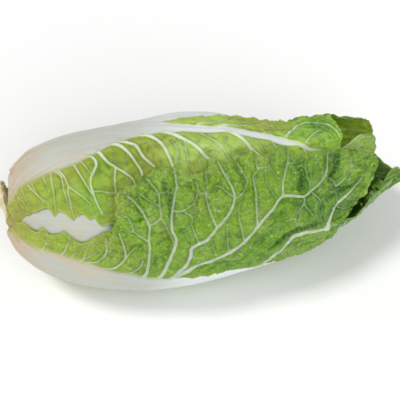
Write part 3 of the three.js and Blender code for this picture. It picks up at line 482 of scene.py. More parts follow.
leaves = [
    dict(name="front_wrapper_leaf", hi=FRONT_HI, lo=FRONT_LO, closing=0, blade=1.2, gap=.8, rib_k=1,
         mid=table([(0, -20), (300, -22)]), spine=[(0, -20), (150, -22), (200, -18), (235, -6), (262, 22), (282, 44), (289.5, 56)],
         rib_hi=table([(0, 8), (5.4, 27.2), (16, 22), (30.2, 19.4), (44.1, 18.6), (62.4, 15.4), (77.7, 9.2), (98.5, 3.6), (125.6, -3.4), (144.2, -4.8), (167.6, -7.8), (191.7, -12), (205, -14), (217, -18), (230, -21), (245, -26), (258, -31), (268, -34)]),
         rib_lo=table([(0, -46), (10, -60), (60, -55), (100, -50), (150, -46), (200, -46), (240, -46), (268, -46)]), rib_end=266, passage=[15, 12, 10, 6.5, 3.0],
         nu=361, nv=217, traced="both", lift_hi=table([(0, .1), (60, .25), (80, .8), (105, 1.5), (240, 1.6), (272, 1.2), (290, .6)]), curl_hi=table([(0, 0), (76, .05), (95, 1.25)]),
         lift_lo=table([(0, 1.4), (230, 1.2), (255, .4), (292, .2)]), curl_lo=.3, tone=[(0, .0), (30, .10), (70, .26), (110, .44), (180, .50), (215, .60), (245, .70), (270, .66), (291, .56)], veins=VEINS_FRONT, folds=FRONT_FOLDS, paint=FRONT_TINTS_AND_CREASE_SHADE, pale=FRONT_PALE, cool=.85, edge_pale=table([(84, 0), (95, .30), (112, .42), (165, .42), (190, .12), (240, .0)]), crumple=1.0, fine=1.0, auto=("lo",), slot="outer_leaf"),
    dict(name="top_wrapper_leaf", hi=TOP_HI, lo=TOP_LO, closing=0, blade=1.2, gap=.8, rib_k=1,
         mid=table([(0, 117), (90, 115), (120, 112), (150, 105), (198, 101), (216, 94), (240, 83), (270, 80)]),
         spine=[(6.6, 117), (90, 115), (120, 112), (150, 105), (198, 101), (230, 100), (262.4, 102)],
         rib_hi=table([(0, 140), (16, 148), (60, 150), (85, 144), (100, 130), (112, 122), (125.6, 115), (134.6, 111.2), (144, 108.4), (155, 106.2), (166, 105), (177, 105), (189, 106), (199.8, 105.4), (214.4, 99.6), (227.2, 93.5), (237, 85.8), (251.6, 80)]),
         rib_lo=table([(0, 92), (5, 68), (10, 73), (16.3, 80.2), (32.8, 82.8), (48.1, 86), (61.3, 88.6), (74.1, 94), (94.2, 101.4), (109.5, 102.8), (124.5, 101.8), (139.1, 100.4), (154.1, 98), (168.7, 96.6), (184.8, 96.8), (199.8, 95.3), (214.4, 90), (227.2, 86.5), (237, 80.5), (251.6, 78)]), rib_end=256,
         band_lo=table([(50, 142), (84, 140), (100, 127), (112, 119), (124, 115.4), (135, 114), (150, 114), (165, 114), (174, 117), (181, 122), (187, 130), (193, 140), (200, 146), (215, 151), (235, 155.5)]),
         band_hi=table([(30, 178), (60, 178), (90, 176), (120, 172), (150, 167), (172, 164), (186, 162), (200, 160.5), (215, 159), (238, 155.5)]), paint=TOP_TINTS, pale=TOP_PALE_AND_SHEEN, folds=[mound(142, 134, 12, 16, 1.2), mound(249, 119, 8, 13, -2.6), groove([(8.4, 102), (10, 113), (13, 118.5), (17, 121), (22, 122), (27, 121.5), (36, 121)], .9, 1.5, .7)], stain=[tint(10, 114, 2.2, 5, .5), tint(15, 120, 3.5, 2, .5), tint(22, 122, 4, 1.8, .5), tint(30, 121.5, 5, 1.6, .35)],
         nu=349, nv=217, traced="both", lift_hi=1.2, curl_hi=.7, lift_lo=table([(0, .05), (75, .1), (95, .7), (262, 1.0)]), curl_lo=table([(0, 0), (76, 0), (95, .2)]), change=flush_by_gap,
         tone=[(0, .0), (40, .10), (100, .18), (190, .14), (230, .26), (263, .44)], veins=VEINS_TOP, cool=.4, dim=.8, crumple=.42, fine=.3, auto=("hi",), slot="outer_leaf"),
    plain_leaf("underside_wrapper_leaf", 258, .95, .05, 1.2, .8, half=[(0, 25), (.03, 38), (.1, 43), (.2, 50), (.3, 62), (.42, 76), (.55, 86), (.7, 86), (.78, 74), (.86, 54), (.92, 38), (.95, 24)],
               nu=289, nv=157, lift_hi=1.6, curl_hi=.5, lift_lo=1.6, curl_lo=.5, tone=[(0, 0), (40, .14), (120, .4), (285, .66)], auto=("hi", "lo"), slot="outer_leaf"),
    dict(name="front_second_leaf", closing=.1, blade=1.2, gap=.9, rib_k=1, mid=table(scaled([(0, 43), (.3, 42), (.6, 36), (1, 36)])),
         hi=scaled([(0, 68), (.03, 81), (.1, 87), (.2, 93), (.3, 104), (.42, 112), (.6, 118), (.72, 114), (.8, 98), (.84, 82), (.863, 77.9), (.883, 79.9), (.906, 84.1), (.935, 92.1), (.954, 95.5), (.968, 97.3), (.976, 94), (.975, 84)]),
         lo=scaled([(0, 18), (.03, 5), (.1, -1), (.2, -7), (.3, -20), (.42, -36), (.6, -50), (.75, -50), (.82, -42), (.85, -12), (.86, 4), (.883, 14), (.91, 20), (.93, 30), (.947, 42), (.963, 56), (.971, 66)]),
         spine=scaled([(0, 43), (.3, 42), (.6, 38), (.85, 44), (.93, 60), (.973, 76)]),
         rib_hi=table([(0, 58), (10, 54), (20, 58), (50, 62), (80, 60), (110, 54), (150, 48), (220, 42), (280, 38)]),
         rib_lo=table([(0, 30), (10, 36), (20, 33), (50, 30), (75, 30), (90, 36), (110, 36), (150, 34), (220, 33), (280, 35)]), rib_end=270,
         nu=265, nv=133, lift_hi=.8, curl_hi=.25, lift_lo=.8, curl_lo=.3, change=show_in_gap, calm=lambda x, psi: gap(x, psi, 12.0, 84), rib_start=16,
         tone=[(0, 0), (60, .1), (200, .36), (270, .4), (292, .26)], auto=("hi", "lo"), crumple=.25, cool=1, pale=[tint(284, 76, 13, 22, 1.7)], veins=[(1.8, 1.2, [(257.6, 73), (264.9, 78.2), (271.8, 82.4), (280.5, 89.4), (286, 93), (289.6, 94.6)]), (.7, .5, [(266, 60), (276, 74), (285, 84)])], auto_end=196, slot="outer_leaf"),
    dict(name="back_wrapper_leaf", closing=.1, blade=1.2, gap=.9, rib_k=1, mid=table(scaled([(0, 176), (.5, 186), (1, 192)])),
         hi=scaled([(0, 202), (.03, 215), (.1, 220), (.2, 228), (.3, 240), (.42, 256), (.6, 276), (.8, 280), (.9, 264), (.96, 246), (1.0, 226), (1.015, 208)]),
         lo=[(0, 150), (9, 138), (30, 132), (60, 126), (90, 116), (126, 106), (180, 100), (216, 104), (236, 122), (248, 146), (256, 149), (260.5, 141), (268.7, 138.3), (278, 138.3), (285, 138.7), (291, 141.5), (295.5, 149), (298.5, 158), (302, 172), (304.5, 182)],
         spine=scaled([(0, 176), (.5, 186), (1, 190), (1.015, 190)]),
         nu=301, nv=145, lift_hi=1.2, curl_hi=.4, lift_lo=.15, curl_lo=.0, tone=[(0, 0), (40, .14), (120, .4), (250, .7), (300, .85)], folds=BACK_FOLDS, olive=1, crumple=.4, auto=("hi", "lo"), slot="outer_leaf"),
    dict(name="underside_second_leaf", closing=table([(0, .2), (240, .14), (260, .06), (275, .07), (288, .15), (300, .25), (313, .43), (322, .53)]), change=rise_at_tip, blade=1.2, gap=.9, rib_k=1, mid=table(scaled([(0, 308), (.5, 312), (1, 322)])),
         hi=scaled([(0, 334), (.03, 346), (.1, 352), (.2, 358), (.3, 370), (.42, 384), (.6, 396), (.75, 390), (.82, 370), (.846, 360), (.862, 355.4), (.898, 350.7), (.925, 350.7), (.954, 357.2), (.973, 368), (1.0, 385.4), (1.016, 399), (1.024, 400), (1.047, 384), (1.054, 370), (1.056, 350), (1.058, 330)]),
         lo=scaled([(0, 282), (.03, 270), (.1, 265), (.2, 259), (.3, 247), (.42, 234), (.6, 224), (.8, 214), (.95, 206), (1.0, 206), (1.021, 218), (1.028, 228), (1.031, 238), (1.042, 243), (1.05, 252), (1.056, 266), (1.058, 290)]),
         spine=scaled([(0, 308), (.5, 312), (1, 316), (1.058, 312)]),
         nu=301, nv=145, lift_hi=.3, curl_hi=.1, lift_lo=.8, curl_lo=.3, tone=[(0, 0), (40, .14), (120, .5), (250, .85), (300, .8)], open_tip_shade=1, pale=[tint(306, 386, 8, 10, .6)], auto=("hi", "lo"), slot="outer_leaf"),
    plain_leaf("top_second_leaf", 85, .892, .5, 1.2, 1.0, nu=169, nv=121, lift_hi=.6, curl_hi=.2, lift_lo=.6, curl_lo=.2, tone=[(0, 0), (60, .15), (270, .6)], auto=("hi", "lo"), slot="outer_leaf"),
    plain_leaf("back_second_leaf", 222.5, .91, .6, 1.2, 1.0, nu=169, nv=121, lift_hi=.6, curl_hi=.2, lift_lo=.6, curl_lo=.2, tone=[(0, 0), (60, .15), (270, .6)], auto=("hi", "lo"), slot="outer_leaf"),
]
INNER = 16
for i in range(INNER):
    t = i / (INNER - 1)
    leaves.append(plain_leaf(("head_leaf_" if i < 8 else "heart_leaf_") + str(i % 8 + 1), (-20 + 137.5 * (8 + i)) % 360,
                             .9 + .025 * ((i * .618) % 1), min(1, .7 + .06 * i), 1.4 + 2 * t, 1.2 + 2.1 * t, wide=1 + .18 * t,
                             rib_k=.85 - .5 * t, nu=85, nv=61, lift_hi=1.2, curl_hi=.5, lift_lo=1.2, curl_lo=.5, tone=[(0, 0), (60, .05), (270, max(.05, .55 - .6 * t))],
                             auto=("hi", "lo"), slot="inner_leaf" if i < 8 else "heart_leaf"))

stack = np.zeros((len(GX), len(GP)))
free = np.ones_like(stack)
for leaf in leaves:
    leaf["depth"] = stack.copy()
    leaf["free"] = free.copy()
    c = cover_of(leaf)
    leaf["cover"] = c
    for fold in leaf.get("folds", []):
        stack = stack + 1.12 * np.maximum(0, -fold(GX[:, None] + 0 * GP[None], GP[None] + 0 * GX[:, None])) * c
    stack = stack + c * (leaf["blade"] + leaf["gap"]) + rib_depth(leaf, GX[:, None], GP[None]) * np.where(c > .5, 1, .6)
    free = free * (1 - c)


# ------------------------------------------------------------------ veins
def auto_veins(leaf, side, seed):
    """Secondary veins leaving the midrib toward the margin, with a few branches each."""
    sign = 1 if side == "hi" else -1
    rnd = np.random.RandomState(seed)
    ex, ep, _ = resample(leaf[side], 400, 8.0)
    tip = ex.max()
    made = []
    x0 = 26.0 + 8 * rnd.rand()
    while x0 < leaf.get("auto_end", tip - 26):
        m = float(leaf["mid"](x0))
        start = m + sign * min(RIB_HALF(x0) * .55, 14)
        # where on the margin it is heading
        ahead = np.clip(x0 + 34 + .16 * x0, 0, tip - 2)
        j = int(np.argmin(np.abs(ex - ahead) + 1000 * (ex > tip - 1)))
        end = ep[j]
        reach = (end - start) * sign
        if reach > 8:
            t = np.linspace(0, .96, 14)
            wave = .9 * rnd.randn(3)
            x = x0 + (ex[j] - x0) * t ** 1.35 + np.sin(t * 7 + wave[0]) * 1.3 * t
            psi = start + (end - start) * t + np.sin(t * 9 + wave[1]) * 1.0 * t
            w = 1.0 + 3.4 * smooth((x0 - 30) / 70) * (1 - .55 * smooth((x0 - 150) / 120))
            made.append((w, .35 * w, list(zip(x, psi))))
            for k, at in enumerate((3, 5, 7, 9, 11)):
                way = 1 if k % 2 else -1
                size = (9 + 9 * rnd.rand()) * (1 - .3 * t[at])
                turn_ = math.radians(38 + 22 * rnd.rand()) * way
                dx, dp = x[at + 1] - x[at], (psi[at + 1] - psi[at]) * math.radians(1) * 60
                n = math.hypot(dx, dp)
                dx, dp = dx / n, dp / n
                s = np.linspace(0, 1, 6)
                bend = turn_ * (1 - .45 * s)
                bx = x[at] + np.cumsum(np.r_[0, (np.cos(bend) * dx - np.sin(bend) * dp)[1:]]) * size / 5
                bp = psi[at] + np.cumsum(np.r_[0, (np.sin(bend) * dx + np.cos(bend) * dp)[1:]]) * size / 5 / 60 / math.radians(1)
                made.append((.42 * w + .3, .5, list(zip(bx, bp))))
        x0 += 15 + 9 * rnd.rand() + .02 * x0
    return made


def vein_fields(leaf, X, PSI, P0, veins):
    """For every grid point: how far the nearest vein's side is, ridge height, pale border, signed side and boldness."""
    q = np.full(X.shape, 30.0)
    ridge, halo, bold, inward = np.zeros(X.shape), np.zeros(X.shape), np.zeros(X.shape), np.full(X.shape, -9.0)
    rib_x, rib_p = X.ravel(), PSI.ravel()
    flat = P0.reshape(-1, 3)
    q, ridge, halo, bold, inward = (a.ravel() for a in (q, ridge, halo, bold, inward))
    for w0, w1, pts in veins:
        p = np.asarray(pts, float)
        total = lengths(p[:, 0], p[:, 1])[-1]
        if total < 1.5:
            continue
        n = max(4, int(total / 1.8))
        vx, vp, t = resample(p, n, min(1.6, total / 8))
        line = place(vx, vp, 0.0, 0.0, False)
        share = t / t[-1]
        w0, w1 = .68 * w0, .58 * w1
        widths = w0 + (w1 - w0) * share ** .75 + 1.15 * w0 * np.exp(-t / 6.0) * (w0 > 2.1)
        reach = 9.0
        near = np.nonzero((rib_x > vx.min() - reach) & (rib_x < vx.max() + reach) & (rib_p > vp.min() - 11) & (rib_p < vp.max() + 11))[0]
        if not len(near):
            continue
        A, B = line[:-1], line[1:]
        U = B - A
        uu = (U * U).sum(-1) + 1e-9
        best = np.full(len(near), 1e9)
        width = np.zeros(len(near))
        pts3 = flat[near]
        for i in range(len(A)):
            V = pts3 - A[i]
            s = np.clip((V @ U[i]) / uu[i], 0, 1)
            W = V - s[:, None] * U[i]
            d = np.einsum("ij,ij->i", W, W)
            closer = d < best
            best = np.where(closer, d, best)
            width = np.where(closer, widths[i] + (widths[i + 1] - widths[i]) * s, width)
        d = np.sqrt(best)
        q[near] = np.minimum(q[near], d - width / 2)
        ridge[near] = np.maximum(ridge[near], .72 * np.minimum(width, 4.5) ** .9 * np.exp(-((d / (.5 * width + .4)) ** 2)))
        strength = np.clip(.30 + .30 * width, 0, 1)
        bold[near] = np.where(width / 2 - d > inward[near], strength, bold[near])
        inward[near] = np.maximum(inward[near], width / 2 - d)
        halo[near] = np.maximum(halo[near], np.minimum(1, .35 + .18 * width) * np.exp(-((np.maximum(d - width / 2, 0) / (.7 + .45 * width)) ** 2)))
    return (a.reshape(X.shape) for a in (q, ridge, halo, inward, bold))


# ------------------------------------------------------------------ a leaf as a closed mesh
def facing(P, outward):
    """Unit normals of a grid of points, on the side of "outward"."""
    n = np.cross(np.gradient(P, axis=1), np.gradient(P, axis=0))
    size = np.linalg.norm(n, axis=-1, keepdims=True)
    n = n / np.maximum(size, 1e-9)
    if (n * outward).sum(-1).mean() < 0:
        n = -n
    return n


def blur_grid(F, r, times=2):
    """Box blur of a grid of values, edges kept."""
    for _ in range(times):
        for axis in (0, 1):
            n = 2 * r + 1
            pad = [(0, 0)] * F.ndim
            pad[axis] = (r + 1, r)
            c = np.cumsum(np.pad(F, pad, mode="edge"), axis=axis)
            F = (np.take(c, range(n, c.shape[axis]), axis) - np.take(c, range(0, c.shape[axis] - n), axis)) / n
    return F


def lowest(F, r):
    """Smallest value within r cells."""
    for axis in (0, 1):
        padded = np.pad(F, [(r, r) if a == axis else (0, 0) for a in (0, 1)], mode="edge")
        F = np.min([np.take(padded, range(i, i + F.shape[axis]), axis) for i in range(2 * r + 1)], axis=0)
    return F


def build_leaf(leaf, k):
    nu, nv = leaf["nu"], leaf["nv"]
    assert (nu - 1) % 3 == 0 and (nv - 1) % 3 == 0, leaf["name"]
    traced = leaf.get("traced")
    seed = 11 * k + 3
    mx, mp, _ = resample(leaf["spine"], nu, 6.0)
    v = np.linspace(-1, 1, nv)
    w = np.abs(v)
    X, PSI = np.zeros((nu, nv)), np.zeros((nu, nv))
    arc, margin = np.zeros((nu, nv)), np.zeros((nu, nv))
    for side, sel in (("hi", v >= 0), ("lo", v < 0)):
        ex, ep, s = resample(leaf[side], nu, .7 if traced else 3.0)
        per = s[-1] / nu
        sx, sp = blur_line(ex, 9 / per), blur_line(ep, 9 / per)
        sign = 1 if side == "hi" else -1
        if not traced:
            # toothed, wavy margin, in the direction square to it
            fade = smooth((sx - 6) / 30)
            wob = 1.5 * fbm(s / 21, 0 * s, seed + (side == "lo"), 2) + .9 * fbm(s / 6.5, 0 * s + 4, seed + 7 + (side == "lo"), 2)
            tx, tp = np.gradient(sx), np.gradient(sp) * np.radians(1) * radius(sx)
            n = np.hypot(tx, tp)
            ends = smooth(np.minimum(np.arange(nu), nu - 1 - np.arange(nu)) / 8)
            ex = ex + fade * ends * wob * (-sign * tp / n)
            ep = ep + fade * ends * wob * (sign * tx / n) / (np.radians(1) * radius(sx))
        else:
            tx, tp = np.gradient(sx), np.gradient(sp) * np.radians(1) * radius(sx)
            n = np.hypot(tx, tp) + 1e-9
            wob = .45 * fbm(s / 3.4, 0 * s, seed + 7 + (side == "lo"), 2) * smooth(np.minimum(np.arange(nu), nu - 1 - np.arange(nu)) / 8) * smooth((sx - 8) / 12)
            ex = ex + wob * (-sign * tp / n)
            ep = ep + wob * (sign * tx / n) / (np.radians(1) * radius(sx))
        W = w[sel][None]
        X[:, sel] = mx[:, None] * (1 - W) + sx[:, None] * W + (ex - sx)[:, None] * W**6
        PSI[:, sel] = mp[:, None] * (1 - W) + sp[:, None] * W + (ep - sp)[:, None] * W**6
        arc[:, sel] = s[:, None]
        E0 = place(ex, ep, 0.0, 0.0, False)
        P = place(X[:, sel], PSI[:, sel], 0.0, 0.0, False)
        margin[:, sel] = np.linalg.norm(P - E0[:, None], axis=-1)
    D = on_grid(leaf["depth"], X, PSI)
    if "change" in leaf:
        D = leaf["change"](X, PSI, D)
    free_ = on_grid(leaf["free"], X, PSI)
    free_ = smooth((free_ - .05) / .9)
    closing = leaf["closing"](X) if callable(leaf["closing"]) else leaf["closing"]
    Pb = place(X, PSI, D, closing)
    axis_pt = place(X, PSI, D + 30, closing, False)
    N = facing(place(X, PSI, blur_grid(D, 4), closing, False), Pb - axis_pt)
    P0 = place(X, PSI, 0.0, 0.0, False)

    # the midrib
    if "rib_hi" in leaf:
        top, low = leaf["rib_hi"](X), leaf["rib_lo"](X)
        mid = (top + low) / 2
        half = (top - low) / 2 * np.radians(1) * radius(X)
        ends = smooth((leaf["rib_end"] - X) / 14) * (smooth((X - 4) / leaf["rib_start"]) if "rib_start" in leaf else 1)
    else:
        mid = leaf["mid"](X)
        half = RIB_HALF(X) * .8 * np.radians(1) * radius(X)
        ends = smooth((leaf["hi"][-1][0] + 4 - X) / 30)
    across = angle_from(PSI, mid) * np.radians(1) * radius(X)
    inside_mm = half - np.abs(across)
    soft = np.interp(X, [0, 60, 110, 170, 260], leaf.get("passage", [16, 11, 5.6, 3.2, 2.0]))
    streak = 1.9 * fbm(X / 30, across / 4.5, seed + 40, 3) * np.interp(X, [0, 120, 200], [1, 1, .2])
    rib = smooth((inside_mm + streak + np.interp(X, [0, 150, 225], [.5, .45, .1]) * soft) / soft) * ends
    if "band_lo" in leaf:
        mm = np.radians(1) * radius(X)
        within = np.minimum(PSI - leaf["band_lo"](X), leaf["band_hi"](X) - PSI) * mm
        band = smooth((within + streak + 1.2) / 3.0)
        rib = np.maximum(rib, band)

    veins = list(leaf.get("veins", []))
    for n, side in enumerate(leaf["auto"]):
        grown = auto_veins(leaf, side, seed + 100 * n)
        if "band_lo" in leaf:
            # only beyond the white band at the back
            grown = [(a, b, [q_ for q_ in line if q_[1] > 150]) for a, b, line in grown]
        veins += [g for g in grown if len(g[2]) > 1]
    q, ridge, halo, inward, bold = vein_fields(leaf, X, PSI, P0, veins)
    q = np.minimum(q, np.where(ends > .3, -inside_mm, 30))
    # veins die out on the midrib and on the white band
    plain = 1 - smooth((inside_mm - 4) / 4) * (ends > .3)
    if "band_lo" in leaf:
        plain = plain * (1 - smooth((within - 1.5) / 3.0))
    ridge, halo, bold = ridge * plain, halo * plain, bold * plain

    # tissue between the veins
    au, av = X, PSI * np.radians(1) * 58
    wu = au + 3.4 * noise2(au / 15, av / 15, seed + 1) + 1.2 * noise2(au / 5, av / 5, seed + 2)
    wv = av + 3.4 * noise2(au / 15, av / 15, seed + 3) + 1.2 * noise2(au / 5, av / 5, seed + 4)
    edge, mids, name = cells(wu / 9.5, wv / 7.5, seed)
    edge = edge * 8.4
    clear = smooth((q - .4) / 2.2)
    net = smooth((1.0 - edge) / .9) * np.interp(X, [0, 60, 110], [.4, .55, 1]) * smooth((q + .3) / .9) * (.45 + .55 * smooth(.5 + 1.4 * noise2(au / 19, av / 17, seed + 45)))
    e2, _, _ = cells(wu / 3.6, wv / 3.2, seed + 9)
    e2 = e2 * 3.4
    fine = smooth((.5 - e2) / .45) * smooth((q - .2) / 1.2) * (1 - net)
    blade = 1 - rib
    young = np.interp(X, [0, 50, 110, 200], [.7, .78, 1, 1.1])
    puff = 1.25 + .5 * (1 - np.exp(-np.maximum(q, 0) / 4.2))
    small = leaf.get("pillow", 1.0) * 1.25 * (1 - np.exp(-edge / 1.7)) * clear
    tiny = .20 * (1 - np.exp(-e2 / .6)) * clear
    roll = 1.5 * fbm(au / 34, av / 27, seed + 5, 2) + 1.35 * fbm(au / 11, av / 8.5, seed + 6, 2) + .5 * fbm(au / 4.2, av / 3.6, seed + 8, 2)
    near_edge = np.exp(-((margin / 32) ** 2))
    quiet_ = smooth(.55 + 1.1 * noise2(au / 26, av / 22, seed + 44))
    amount = leaf.get("crumple", .7) * np.interp(X, [0, 60, 95, 200, 240, 262], [.7, .8, 1.25, 1.1, .6, .35]) * (.45 + .75 * near_edge) * (.35 + .65 * quiet_) * (1 - np.exp(-np.maximum(q, 0) / 2.2)) * (.45 + .55 * smooth((X - 12) / 40))
    crumple = amount * (3.4 * np.abs(noise2(wu / 6.2, wv / 5.2, seed + 41)) + 2.0 * np.abs(noise2(wu / 3.1, wv / 2.8, seed + 43)))
    height = blade * young * (puff + small + tiny + roll + crumple) + ridge * (.25 + .75 * blade)
    height = height + rib * (.9 * np.clip(inside_mm / np.maximum(half, 1), 0, 1) ** .7 + .05 * fbm(X / 60, across / 2.6, seed + 12, 2) + .3 * fbm(X / 50, across / 9, seed + 13, 2))
    for bump in leaf.get("folds", []):
        height = height + bump(X, PSI)
    if leaf.get("traced"):
        height = height * (1 - .8 * gap(X, PSI, 16.0, 80))
    if "calm" in leaf:
        quiet = leaf["calm"](X, PSI)
        height = height * (1 - quiet) + (.35 + .3 * noise2(X / 30, across / 16, seed)) * quiet

    tissue = height
    crease = sum((np.maximum(0, -bump(X, PSI)) for bump in leaf.get("folds", [])), np.zeros(X.shape))
    # the margin lifts, waves and rolls outward
    side_hi = (v >= 0)[None]
    grow_in = smooth((X - 2) / 16)
    amount = {n: leaf[n](X) if callable(leaf[n]) else leaf[n] for n in ("lift_hi", "lift_lo")}
    lift = np.where(side_hi, amount["lift_hi"], amount["lift_lo"]) * grow_in
    rolls = [leaf[n](X) if callable(leaf[n]) else leaf[n] for n in ("curl_hi", "curl_lo")]
    curl = np.where(side_hi, rolls[0], rolls[1])
    s_seed = np.where(side_hi, 0.0, 50.0)
    wave = fbm(arc / 17 + s_seed, margin / 60 + seed, seed + 20, 2)
    wave2 = fbm(arc / 7.5 + s_seed, margin / 30 + seed, seed + 21, 2)
    near = np.exp(-((margin / 9.0) ** 2))
    rise = lift * near * (.45 + .75 * np.clip(wave + .25, -.3, 1) + .6 * wave2 * np.exp(-margin / 4))
    height = height + rise * free_
    height = np.maximum(height, -.35 - 4.0 * smooth((free_ - .5) / .5)) * (.12 + .88 * free_)
    thin = np.where(free_ < .5, .55, 1)
    P = Pb + N * (height * np.where(free_ > .02, 1, .3) * thin)[..., None]

    # the rolled rim
    toward = np.zeros_like(P)
    step = np.gradient(P, axis=1)
    step = step / np.maximum(np.linalg.norm(step, axis=-1, keepdims=True), 1e-9)
    toward = step * np.where(side_hi, 1.0, -1.0)[..., None]
    length = 3.2 + 1.2 * wave
    angle = curl * smooth((fbm(arc / 12 + s_seed, 0 * arc, seed + 22, 2) + .25) / .8) * 1.9 * free_ * grow_in
    part = np.clip(1 - margin / length, 0, 1)
    turn_ = part * angle
    R = length / np.maximum(angle, 1e-3)
    slide = np.where(angle > .02, R * np.sin(turn_) - part * length, 0)
    up = np.where(angle > .02, R * (1 - np.cos(turn_)), 0)
    P = P + toward * slide[..., None] + N * up[..., None]
    floor_ = np.where(P[..., 2] < ZC, PRESS * np.maximum(D, 0) + .05, -1e9)
    P[..., 2] = np.maximum(P[..., 2], floor_)

    # thickness
    Nf = facing(P, Pb - axis_pt)
    Nf = blur_grid(Nf, 1, 1)
    Nf /= np.linalg.norm(Nf, axis=-1, keepdims=True)
    rim = np.exp(-margin / 1.4)
    skin = .62 - .22 * rim
    q_rib = np.abs(angle_from(PSI, leaf["mid"](X))) / RIB_HALF(X)
    under = rib_depth(leaf, X, PSI) * .92
    sunk = (height - blur_grid(lowest(height, 3), 1, 1)) * smooth((margin - 1) / 5)
    I = P - Nf * skin[..., None] - N * (under + .5 * ridge + np.maximum(sunk, 0))[..., None]
    I[..., 2] = np.where((P[..., 2] < ZC) & (N[..., 2] < -.3), np.maximum(I[..., 2], P[..., 2] + .3), I[..., 2])
    I = I[::3, ::3]

    # fields for the material
    base = np.clip(1 - X / 34, 0, 1)
    age = np.clip(base * base * (.7 + .9 * fbm(X / 14, across / 4, seed + 30, 3)) + .5 * np.exp(-margin / 2.0) * smooth((26 - X) / 18), 0, 1)
    tone = table(leaf["tone"])(X) + .12 * fbm(au / 24, av / 20, seed + 31, 2)
    # tone patches, with painted shade along the front wrapper's creases
    for patch in leaf.get("paint", []):
        tone = tone + patch(X, PSI)
    tone = np.clip(tone, 0, 1)
    by_edge = leaf["edge_pale"](X) * np.exp(-((margin / 8.0) ** 2)) * (v > 0)[None] if "edge_pale" in leaf else 0
    pale = by_edge + sum((patch(X, PSI) for patch in leaf.get("pale", [])), np.zeros(X.shape)) * (.75 + .5 * fbm(au / 7, av / 6, seed + 35, 2))
    warm = np.clip(.75 * smooth((46 - X) / 42) * (.55 + .9 * fbm(X / 40, across / 7, seed + 33, 2)) + .5 * smooth((q_rib - .72) / .3) * smooth((110 - X) / 60) * smooth(.5 + 1.2 * fbm(X / 30, across / 5, seed + 34, 2)), 0, .8)
    warm = np.clip(warm + sum((patch(X, PSI) for patch in leaf.get("stain", [])), np.zeros(X.shape)), 0, .9)
    fields = {
        "warm": warm, "rib": rib, "inward": inward, "bold": bold, "net": net * (1 - rib), "pale": np.clip(pale, 0, 1), "halo": np.maximum(halo * .9, .15 * net + .12 * fine) * (1 - rib),
        "tone": tone, "rim": np.exp(-margin / (1.7 + leaf.get("olive", 0) * 2.6 * smooth((X - 284) / 8))) * (.4 + .6 * free_), "age": age,
        # painted shade where the tissue lies low or along a crease, painted highlight where it stands high
        "relief_shade_and_highlight": np.clip(.5 + .26 * (tissue - blur_grid(tissue, max(2, nu // 90), 2)) + .12 * (tissue - blur_grid(tissue, max(6, nu // 25), 2)) - .10 * crease, 0, 1), "shade": 1 - free_,
        "rough": np.full(X.shape, leaf.get("fine", .8)) * np.interp(X, [0, 40, 100], [.3, .45, 1]), "cool": leaf.get("cool", 0) * (1 - smooth((X - 96) / 40)), "dim": leaf.get("dim", 0) * (1 - smooth((X - 100) / 40)),
        "olive": leaf.get("olive", 0) * smooth((X - 200) / 50), "open_tip_shade": leaf.get("open_tip_shade", 0) * smooth((X - 200) / 50),
    }
    along = np.stack([X, across, np.full(X.shape, 40.0 * k)], -1)
    return make_mesh(leaf, P, I, fields, along)


